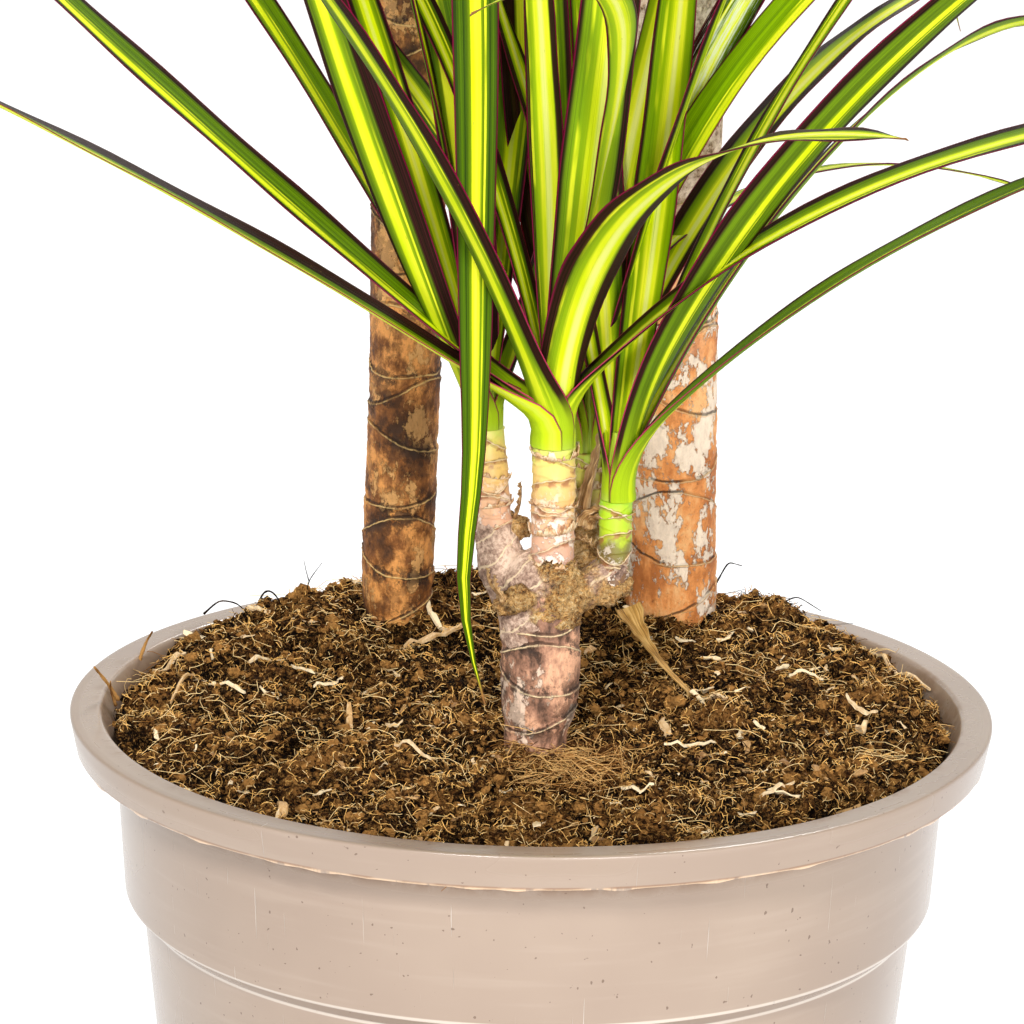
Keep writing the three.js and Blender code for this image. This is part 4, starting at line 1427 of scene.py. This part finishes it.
# %% Walking along a leaf
def walk(crown, leaf, seed, hug):
    """The midrib of a leaf, with everything that the blade needs at each point of it."""
    steps = (np.arange(LEAF_STEPS + 1) / LEAF_STEPS) ** STEP_GROWTH
    before = np.concatenate([[0], steps[:-1]])
    half = (steps + before) / 2
    opened = 1 - (1 - np.minimum(1, half * leaf["length"] / leaf["clasp"])) ** 2
    tilt = np.radians(np.minimum(leaf["lean"] * opened + leaf["droop"] * half ** leaf["bend"], HANGING_TILT))
    turn = np.radians(leaf["heading"] + leaf["sway"] * half)
    along = np.stack([np.sin(tilt) * np.cos(turn), np.sin(tilt) * np.sin(turn), np.cos(tilt)], -1)
    heading = math.radians(leaf["heading"])
    outward = np.array([math.cos(heading), math.sin(heading), 0])
    root = np.array(crown) + outward * ROOT_REACH + (0, 0, ROOT_LIFT + leaf["rise"])
    centre = root + np.cumsum(along * (leaf["length"] * (steps - before))[:, None], axis=0)
    run = steps * leaf["length"]
    centre = centre + outward * ((hug - ROOT_REACH) * np.exp(-run / 9))[:, None]
    across = np.stack([-np.sin(turn), np.cos(turn), np.zeros_like(turn)], -1)
    twist = np.radians(leaf["roll"] + 14 * (draw(seed + 5) - 0.5)) * steps
    twist = twist + math.radians(leaf["turned"]) * (1 - np.exp(-((run / TURNED_BY) ** 2)))
    upward = np.cross(along, across)
    across = across * np.cos(twist)[:, None] + upward * np.sin(twist)[:, None]
    upward = np.cross(along, across)
    wrapped = np.exp(-((run / SHEATH_LENGTH) ** 1.4))
    blade = np.maximum(TIP_WIDTH, leaf["width"] * width_share(steps, leaf["point"])) / 2
    half_width = mix(blade, hug * SHEATH_WRAP, wrapped)
    sunk = np.linspace(ROOT_LIFT + leaf["rise"] - 0.2, 0, SHEATH_STEPS, endpoint=False)
    line = {
        "centre": centre,
        "across": across,
        "upward": upward,
        "half_width": half_width,
        "narrowed": blade / half_width,
        "curl": mix(0.05 + 0.5 * (1 - steps), SHEATH_WRAP, wrapped),
        "thickness": LEAF_THICKNESS * (1 - 0.75 * steps**3),
        "share": steps,
    }
    for key, values in line.items():
        foot = np.repeat(values[:1], SHEATH_STEPS, axis=0)
        if key == "centre":
            foot = foot - sunk[:, None] * (0, 0, 1)
        elif key == "share":
            foot = -sunk / leaf["length"]
        line[key] = np.concatenate([foot, values])
    return line


# %% [markdown]
# No two leaves are marked alike. Where the pale stripe runs, how wide it and the dark margins are and
# how deep the green is are drawn for each leaf, unless they are given. How deep the green is stands
# partly for the leaf's own green and partly for painted shade on leaves inside the bunch. Those
# numbers ride on the points as well, and the leaf's material reads them.

# %% Lines that carry a leaf's measures
LOOKS = ("stripe_at", "stripe_wide", "margin_wide", "lopsided", "deep", "silver")


def usual_looks(seed):
    return {
        "stripe_at": 0.4 * (draw(seed + 11) - 0.5),
        "stripe_wide": mix(0.12, 0.5, draw(seed + 23)),
        "margin_wide": mix(0.12, 0.42, draw(seed + 37) ** 1.3),
        "lopsided": draw(seed + 61) - 0.5,
        "deep": draw(seed + 53),
        "silver": 0.0,
    }


def leaf_lines(name, leaves):
    """One line for each leaf, as loose edges. The leaves come as a crown, a leaf and its hug."""
    lines = []
    edges = []
    per_leaf = LEAF_STEPS + 1 + SHEATH_STEPS
    for number, (crown, each, hug) in enumerate(leaves):
        seed = number * 3 + len(name)
        line = walk(crown, each, seed, hug)
        line.update({key: each[key](line) for key in each if callable(each[key])})
        looks = {**usual_looks(seed), **{key: each[key] for key in LOOKS if key in each}}
        line.update({key: np.full(per_leaf, value) for key, value in looks.items()})
        line["margin_wide"] = line["margin_wide"] * line["narrowed"]
        line["seed"] = np.full(per_leaf, draw(seed + 71))
        lines.append(line)
        start = number * per_leaf
        edges += [(start + step, start + step + 1) for step in range(per_leaf - 1)]
    mesh = bpy.data.meshes.new(name)
    together = {key: np.concatenate([line[key] for line in lines]) for key in lines[0]}
    mesh.from_pydata((together["centre"] * MM).tolist(), edges, [])
    thing = placed(name, mesh)
    for key in ("centre", "half_width", "thickness"):
        write(thing, key, together[key] * MM)
    for key in ("across", "upward", "curl", "share", "seed", *LOOKS):
        write(thing, key, together[key])
    print(f"{name}: {len(lines)} leaves")
    return thing


# %% The tree that sweeps blades
def blade_tree():
    graph = Recipe("leaf blades", {"Points round": "Int", "Edge wave": "Float"})

    def read(name, kind="FLOAT"):
        return graph.add("GeometryNodeInputNamedAttribute", {"data_type": kind}, {"Name": name})["Attribute"]

    lines = graph.add("GeometryNodeMeshToCurve", None, {"Mesh": graph["Geometry"]})
    turn = graph.add("GeometryNodeInputIndex") / graph["Points round"] * TURN
    blades = graph.sweep(lines, graph.store(graph.circle(graph["Points round"], 0.001), "round", turn))
    side = graph.math("COSINE", read("round"))
    face = graph.math("SINE", read("round"))
    curl = read("curl")
    bent = side * curl
    out = graph.math("SINE", bent) / curl
    lift = (1 - graph.math("COSINE", bent)) / curl
    across = read("across", "FLOAT_VECTOR")
    upward = read("upward", "FLOAT_VECTOR")
    half = read("half_width")
    share = read("share")
    ripple = graph.math("SINE", share * 34 + read("seed") * 40 + side * 1.5) * side * side
    rib = abs(side).fall(0.0, 0.16) * 0.00018
    up_by = half * lift + ripple * graph["Edge wave"] * share - rib
    normal = upward * graph.math("COSINE", bent) - across * graph.math("SINE", bent)
    place = read("centre", "FLOAT_VECTOR") + across * (half * out) + upward * up_by
    place = place + normal * (face * read("thickness") * 0.5)
    flat = graph.join(side * 0.5 + 0.5, share, 0.0)
    blades = graph.store(graph.move(blades, Position=place), "UVMap", flat, "FLOAT2", "CORNER")
    blades = graph.store(blades, "under", graph.math("LESS_THAN", face, 0.0))
    smooth = graph.add("GeometryNodeSetShadeSmooth", None, {"Geometry": blades, "Shade Smooth": True})
    return graph.end(smooth)


# %% [markdown]
# A dracaena leaf is green with a cream to yellow stripe and maroon margins that end in a thin crimson
# line. Its veins run along it, so every streak is noise squeezed across the blade and drawn out
# along it. Light passes through the thin blade, which a share of translucent shader gives.


# %% The leaf's finish
def leaf_finish():
    paint = Paint("leaf")
    u, share = paint.flat()
    side = u * 2 - 1
    edge = abs(side)
    seed, deep, wide = paint.attribute("seed"), paint.attribute("deep"), paint.attribute("stripe_wide")
    veins = paint.join(side * 9 + seed * 90, share * 1.3, seed * 9).noise(1.0, 3, 0.6)
    fine = paint.join(side * 42 + seed * 50, share * 2.0, seed * 5).noise(1.0, 2, 0.6)
    blotch = paint.join(side * 2 + seed * 30, share * 9, seed).noise(1.0, 2)

    # The depth of green darkens both greens and the halo: partly the leaf's own deeper green, partly painted
    # shade on leaves that sit inside the bunch.
    lit_green = paint.blend(deep, (0.26, 0.44, 0.001), (0.080, 0.160, 0.001))
    dark_green = paint.blend(deep, (0.120, 0.24, 0.001), (0.016, 0.038, 0.001))
    paint.color = paint.blend((veins * 0.6 + fine * 0.4).rise(0.40, 0.60), dark_green, lit_green)

    wander = (paint.join(seed * 20, share * 4, 2.0).noise(1.0, 2) - 0.5) * 0.12
    off_stripe = (side - paint.attribute("stripe_at") - wander) / wide
    from_stripe = abs(off_stripe)
    jagged = from_stripe + (veins - 0.5) * 0.9
    halo = jagged.fall(0.95, 2.0) * (0.85 - deep * 0.5)
    paint.lay(halo, (0.40, 0.56, 0.001))
    stripe = (jagged + (fine - 0.5) * 0.5).fall(0.75, 1.1)
    yellow = paint.blend(blotch.rise(0.3, 0.7), (0.70, 0.80, 0.002), (0.88, 0.88, 0.03))
    core = from_stripe.fall(0.1, 0.5) * wide.rise(0.2, 0.4)
    yellow = paint.blend(core * 0.6, yellow, (0.94, 0.92, 0.36))
    paint.lay(stripe, yellow)
    beside = abs(off_stripe - paint.math("SIGN", seed - 0.5) * 1.8)
    paint.lay(beside.fall(0.10, 0.30) * blotch.rise(0.35, 0.6), yellow)
    threads = fine.rise(0.58, 0.64) * stripe * veins.rise(0.45, 0.6)
    paint.lay(threads * 0.6, (0.26, 0.44, 0.001))

    young = share.fall(0.0, 0.11)
    paint.lay(young * 0.7, (0.46, 0.62, 0.006))
    white = share.fall(-0.05, 0.005)
    paint.lay(white * 0.55, (0.80, 0.82, 0.36))

    under = paint.attribute("under")
    paint.lay(under * 0.18, (0.30, 0.45, 0.03))

    uneven = 1 + paint.attribute("lopsided") * paint.math("SIGN", side)
    margin_at = 1 - paint.attribute("margin_wide") * uneven * (1 - share.rise(0.75, 1.0) * 0.4)
    ragged = edge + (veins - 0.5) * 0.14 + (fine - 0.5) * 0.07
    margin = ragged.rise(margin_at - 0.09, margin_at + 0.04) * share.rise(0.002, 0.05)
    maroon = paint.blend(fine.rise(0.4, 0.7), (0.008, 0.0022, 0.0018), (0.042, 0.004, 0.009))
    paint.lay(margin * 0.98, maroon)
    crimson = paint.blend(share.rise(0.02, 0.3), (0.40, 0.03, 0.085), (0.16, 0.003, 0.028))
    paint.lay(edge.rise(0.935, 0.965) * share.rise(-0.01, 0.02), crimson)

    speck = paint.join(side * 9 + seed * 70, share * 60, seed).noise(1.0, 1).rise(0.80, 0.83)
    paint.lay(speck * 0.8, (0.24, 0.14, 0.03))
    # Painted highlight: a whitish sheen in glinting streaks, on the leaves that are given one.
    glint = paint.join(side * 14 + seed * 8, share * 26, seed).noise(1.0, 4, 0.7)
    silver = paint.attribute("silver") * (glint + veins * 0.5 - edge * 0.2).rise(0.60, 0.84)
    paint.lay(silver, (0.80, 0.84, 0.72))
    dry = (share + (veins - 0.5) * 0.02).rise(0.975, 0.995)
    paint.lay(dry, (0.34, 0.15, 0.05))

    bump = veins * 0.6 + fine * 0.4
    roughness = 0.40 + veins * 0.12 + under * 0.10
    shiny = paint.shader(roughness, bump, 0.2, {"Specular IOR Level": 0.055})
    through = paint.add("ShaderNodeBsdfTranslucent", None, {"Color": (0.50, 0.72, 0.001)})
    thin = (1 - margin) * 0.08
    return paint.output(paint.add("ShaderNodeMixShader", None, {"Fac": thin, 1: shiny, 2: through}))


leaf_skin = leaf_finish()
blades = blade_tree()


def leaf_piece(name, leaves, slot, *nodes, finish=leaf_skin, wave=0.00045):
    thing = leaf_lines(name, leaves)
    run_tree(thing, blades, {"Points round": 18, "Edge wave": wave, "Material": finish})
    settle(thing, slot, *nodes)


# %% [markdown]
# ## Heads of the short cane
# These leaves fill the picture, so each is set one by one: where it heads, how it leans and droops, and
# how it is marked. The left, right and back shoots cross their leaves with the middle one's.

# %% Leaves of the four shoots
FRONT_LEAVES = {
    "middle": [
        leaf(192, 54, 14, 240, sway=-2, bend=0.9, clasp=10, rise=1, turned=-18, roll=30, stripe_at=0.75,
             stripe_wide=0.30, margin_wide=0.42, lopsided=-0.9, deep=0.6),
        leaf(174, 52, -6, 240, clasp=7, turned=-14, stripe_at=0.45, stripe_wide=0.20, margin_wide=0.26,
             deep=0.7),
        leaf(234, 29, 26, 220, bend=0.9, clasp=11, rise=2, turned=-13, stripe_at=0.14, stripe_wide=0.19,
             margin_wide=0.36, lopsided=0.2, deep=0.75),
        leaf(150, 12, 40, 200, width=10, rise=6, stripe_wide=0.3, deep=0.8, margin_wide=0.3),
        leaf(290, 20, -15, 200, width=15, clasp=7, rise=6, stripe_at=0.05, stripe_wide=0.34,
             margin_wide=0.20, lopsided=0.3, deep=0.45),
        leaf(281, 16, 71, 170, width=15, sway=31, bend=0.7, clasp=10, rise=4, roll=8, point=6,
             stripe_at=0.05, stripe_wide=0.40, margin_wide=0.42, lopsided=0.22, deep=0.6),
        leaf(-5, 34, 66, 235, sway=-2, bend=0.8, clasp=18, rise=2, turned=12, stripe_at=-0.1,
             stripe_wide=0.30, margin_wide=0.26, lopsided=0.1, deep=0.75),
        leaf(65, 38, 77, 230, width=5, sway=-30, bend=0.6, clasp=4, rise=5, stripe_wide=0.5,
             margin_wide=0.2),
        leaf(100, 8, 25, 190, width=11, rise=9, stripe_wide=0.3, deep=0.5),
        leaf(240, 3, 10, 150, width=9, rise=12, stripe_wide=0.5, deep=0.2),
        leaf(305, 6, 96, 205, width=9, sway=-70, rise=8, turned=85, roll=-85, stripe_wide=0.45, deep=0.2),
    ],
    "left": [
        leaf(214, 26, -11, 210, clasp=4, rise=1, turned=30, stripe_at=-0.15, stripe_wide=0.22,
             margin_wide=0.38, lopsided=0.4, deep=0.8),
        leaf(165, 26, 22, 220, width=11, clasp=9, turned=-12, stripe_at=0.35, stripe_wide=0.20,
             margin_wide=0.16, deep=0.6),
        leaf(151, 20, 5, 210, width=11, clasp=15, rise=4, turned=-12, stripe_wide=0.3, deep=0.7),
        leaf(29, 22, -19, 190, width=10, clasp=4, stripe_wide=0.22, deep=0.6),
        leaf(126, 2, 45, 200, rise=5, turned=-40, stripe_at=0.3, stripe_wide=0.2, deep=0.95,
             margin_wide=0.3),
        leaf(75, 10, 30, 200, width=11, rise=8, deep=0.9),
        leaf(180, 8, 12, 170, width=9, rise=11, deep=0.4),
    ],
    "right": [
        leaf(337, 19, 47, 240, width=13, bend=0.9, clasp=46, rise=1, turned=-30, stripe_at=0.02,
             stripe_wide=0.12, margin_wide=0.28, lopsided=0, deep=0.85),
        leaf(343, 38, 48, 240, width=11, bend=0.9, clasp=29, rise=0, turned=12, stripe_at=-0.3,
             stripe_wide=0.06, margin_wide=0.11, lopsided=0.4, deep=0.6),
        leaf(44, 36, 76, 250, width=11, sway=21, bend=1.1, turned=-38, stripe_wide=0.3, margin_wide=0.25,
             deep=0.7),
        leaf(150, 11, 16, 150, width=9, rise=2, stripe_wide=0.4, deep=0.3),
        leaf(103, 18, 5, 190, width=11, rise=4, stripe_wide=0.3, deep=0.2),
        leaf(59, 15, -12, 190, rise=5, stripe_wide=0.36, deep=0.2, margin_wide=0.1),
        leaf(10, 16, 30, 190, width=10, rise=8, stripe_wide=0.3, deep=0.5),
    ],
    "back": [
        leaf(13, 2, 78, 220, width=11, bend=0.9, turned=28, stripe_at=-0.7, stripe_wide=0.22,
             margin_wide=0.05, deep=0.05),
        leaf(32, 5, 62, 220, bend=0.9, rise=5, turned=24, stripe_at=-0.1, stripe_wide=0.3, deep=0.9,
             margin_wide=0.24, silver=0.8),
        leaf(56, 8, 34, 200, rise=6, turned=-10, stripe_wide=0.5, margin_wide=0.06, deep=0.05),
        leaf(163, 19, -34, 200, width=11, clasp=17, rise=5, turned=-60, stripe_at=-0.35, stripe_wide=0.5,
             margin_wide=0.4, lopsided=0.9, deep=0.8),
        leaf(100, 20, 40, 210, rise=4, deep=0.8),
        leaf(142, 26, 45, 200, width=11, rise=2, deep=0.9),
        leaf(350, 12, 14, 190, width=11, rise=8, stripe_wide=0.34, deep=0.3),
        leaf(54, 34, 60, 210, width=11, rise=1, stripe_wide=0.4, deep=0.5),
        leaf(53, 7, 132, 268, width=9, sway=16, rise=6),
    ],
}


def crowned(crown, radius, leaves):
    """Gives each leaf of a shoot its crown and its hug: the lowest leaf is the outermost sheath."""
    order = sorted(range(len(leaves)), key=lambda number: leaves[number]["rise"])
    rank = {number: place / len(leaves) for place, number in enumerate(order)}
    return [(crown, each, radius * mix(1.04, 0.34, rank[number])) for number, each in enumerate(leaves)]


front_leaves = []
for name, leaves in FRONT_LEAVES.items():
    front_leaves += crowned(SHOOTS[name]["path"][-1], SHOOTS[name]["radius"], leaves)
leaf_piece("short_cane_leaves", front_leaves, "leaf", "leaves_short_cane")

# %% [markdown]
# ## Heads of the tall canes
# In a big head only the one old leaf that hangs in front of the short cane is listed on its own. The
# others follow the golden angle round the shoot, the young ones upright in the middle and the old
# ones arching outside, with a little chance in every number.

# %% Two big heads
GOLDEN = 137.508
CLEAR_ANGLE = 15
HEADS = {
    "left": {"leaves": 36, "start": 36, "length": 270, "width": 12, "radius": 7.4},
    "right": {"leaves": 42, "start": 87, "length": 300, "width": 12.5, "radius": 9.2},
}


def bent_clear(root, heading, own):
    """A leaf that heads for the other tall cane is turned aside of it."""
    for side in ("left", "right"):
        cane = CANES[side]
        if side == own or root[2] > cane["top"]:
            continue
        to_cane = math.degrees(math.atan2(cane["foot"][1] - root[1], cane["foot"][0] - root[0]))
        off = (heading - to_cane + 180) % 360 - 180
        if abs(off) < CLEAR_ANGLE:
            return to_cane + math.copysign(CLEAR_ANGLE, off)
    return heading


def head_leaves(side):
    head = HEADS[side]
    root = (*CANES[side]["head"], CANES[side]["top"])
    leaves = []
    for number in range(head["leaves"]):
        age = (number + 0.5) / head["leaves"]
        seed = number + head["start"]
        heading = head["start"] + number * GOLDEN + 16 * (draw(seed) - 0.5)
        fullness = math.sin(math.pi * min(1, age + 0.2) / 1.4)
        leaves.append(leaf(
            bent_clear(root, heading, side),
            mix(5, 52, age) + 8 * (draw(seed + 40) - 0.5),
            mix(15, 78, age) + 20 * (draw(seed + 80) - 0.5),
            head["length"] * mix(0.72, 1, fullness),
            width=head["width"] * mix(0.8, 1, age), rise=mix(24, 1, age), bend=1.2,
        ))
    return crowned(root, head["radius"], leaves)


def bowed(line):
    """The hanging leaf swings a little aside over its last part, and back at its very tip."""
    share = np.clip(line["share"], 0, 1)
    aside = 3 * share**30 - 2.6 * np.exp(-(((share - 0.92) / 0.06) ** 2))
    return line["centre"] + line["across"] * aside[:, None]


hanging = leaf(280, 110, 81, 325, bend=0.5, rise=0, centre=bowed, stripe_at=0.0, stripe_wide=0.23,
               margin_wide=0.07, lopsided=0, deep=1.0)
left_crown = (*CANES["left"]["head"], CANES["left"]["top"])
right_crown = (*CANES["right"]["head"], CANES["right"]["top"])
leaf_piece("left_cane_leaves", [*head_leaves("left"), (left_crown, hanging, 7.6)], "leaf", "leaves_left_cane")
leaf_piece("right_cane_leaves", head_leaves("right"), "leaf", "leaves_right_cane")


# %% Packed leaf bases
def crown_bud(name, place, radius, height):
    """The youngest leaves, still rolled together, which fill a crown and taper to its middle."""
    angle = angles(40)
    levels = np.linspace(0, height, 24)
    rings = []
    for level in levels:
        share = level / height
        ridges = radius * (1 - 0.6 * share**1.5) * (1 + 0.05 * np.cos(5 * angle + 4 * share))
        rings.append(ring_of(place, ridges, angle, place[2] + 0.3 + level))
    return tube(name, rings, levels)


def bud_finish():
    paint = Paint("leaf bases")
    turn, level = paint.flat()
    streak = paint.join(turn * 40, level * 20, 0.4).noise(1.0, 3)
    paint.color = paint.blend(streak.rise(0.35, 0.65), (0.30, 0.48, 0.012), (0.62, 0.74, 0.06))
    return paint.finish(0.4, streak, 0.15)


buds = []
for name, shoot in SHOOTS.items():
    buds.append(crown_bud(f"bud_{name}", shoot["path"][-1], shoot["radius"] * 0.72, 15))
buds.append(crown_bud("bud_tall_left", left_crown, 6.0, 34))
buds.append(crown_bud("bud_tall_right", right_crown, 7.4, 34))
settle(join("leaf_bases", buds), "leaf", finish=bud_finish())

# %% [markdown]
# ## Dry bits
# Withered leaf bases are blades like the others in a dry finish: wide and curled where they clasped
# the stem, narrow where the blade shrank. One lies fallen beside the short cane. Others still stand
# between its shoots.


# %% Dry leaves
def dry_finish(name, darkest, middle, lightest):
    paint = Paint(name)
    u, share = paint.flat()
    streak = paint.join(u * 24, share * 2, paint.attribute("seed") * 9).noise(1.0, 4, 0.6)
    blotch = paint.join(u * 4, share * 7, 2.7).noise(1.0, 3)
    paint.color = paint.ramp(streak * 0.6 + blotch * 0.4, [(0.34, darkest), (0.5, middle), (0.64, lightest)])
    return paint.finish(0.6, streak, 0.4)


def flared(line):
    return mix(0.8, 6.4, np.clip(line["share"], 0, 1) ** 3)


def rolled(line):
    return mix(1.3, 0.75, np.clip(line["share"], 0, 1))


DRY_PLACE = (38, 10)
dry_root = (*DRY_PLACE, soil_height(*DRY_PLACE))
fallen = leaf(141, 62, -20, 26, width=11, clasp=1, rise=0, half_width=flared, curl=rolled)
olive_dry = dry_finish("dry leaf", (0.15, 0.055, 0.012), (0.60, 0.31, 0.065), (0.92, 0.62, 0.24))
leaf_piece("fallen_leaf", [(dry_root, fallen, 2.2)], "dry_leaf", "dry_leaf", finish=olive_dry, wave=0.0004)

# %% Withered sheaths
tan_dry = dry_finish("withered sheath", (0.12, 0.045, 0.012), (0.42, 0.22, 0.07), (0.78, 0.56, 0.30))


def narrow(start, end):
    return lambda line: mix(start, end, np.clip(line["share"], 0, 1))


WITHERED = [
    ((10.5, -13, 250), leaf(20, 12, -8, 22, width=4, clasp=8, rise=0, half_width=narrow(3.2, 0.4)), 1.5),
    ((10, -16, 247), leaf(340, 40, 60, 9, width=4, clasp=3, rise=0, half_width=narrow(3.0, 0.5)), 1.5),
    ((12, -15, 246), leaf(300, 35, 90, 8, width=4, clasp=3, rise=0, half_width=narrow(2.6, 0.4)), 1.5),
    ((13.5, -9, 249), leaf(60, 6, 10, 19, width=3, clasp=8, rise=0, half_width=narrow(1.5, 0.5)), 1.0),
    ((-5.5, -17, 246), leaf(10, 20, -30, 10, width=2, clasp=3, rise=0, half_width=narrow(0.9, 0.5)), 0.6),
    ((-6.5, -31, 233), leaf(210, 40, -50, 6, width=3, clasp=2, rise=0, half_width=narrow(1.5, 0.3)), 0.6),
    ((-7, -29, 233), leaf(190, 50, -60, 7, width=3, clasp=2, rise=0, half_width=narrow(1.2, 0.3)), 0.6),
    ((7, -16, 242), leaf(320, 50, 70, 7, width=3, clasp=2, rise=0, half_width=narrow(2.4, 0.6)), 1.0),
]
leaf_piece("withered_sheaths", WITHERED, "dry_leaf", finish=tan_dry, wave=0.0006)

# %% [markdown]
# ## Size and finish
# The box of the finished plant is written beside the frame's, to be compared.

# %% The two boxes
visual_box = [list(corner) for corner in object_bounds()]
for corner, before, after in zip(("low", "high"), cad_box, visual_box):
    grown = [round((a - b) * 1000, 1) for a, b in zip(after, before)]
    print(f"{corner} corner differs in mm by", grown)
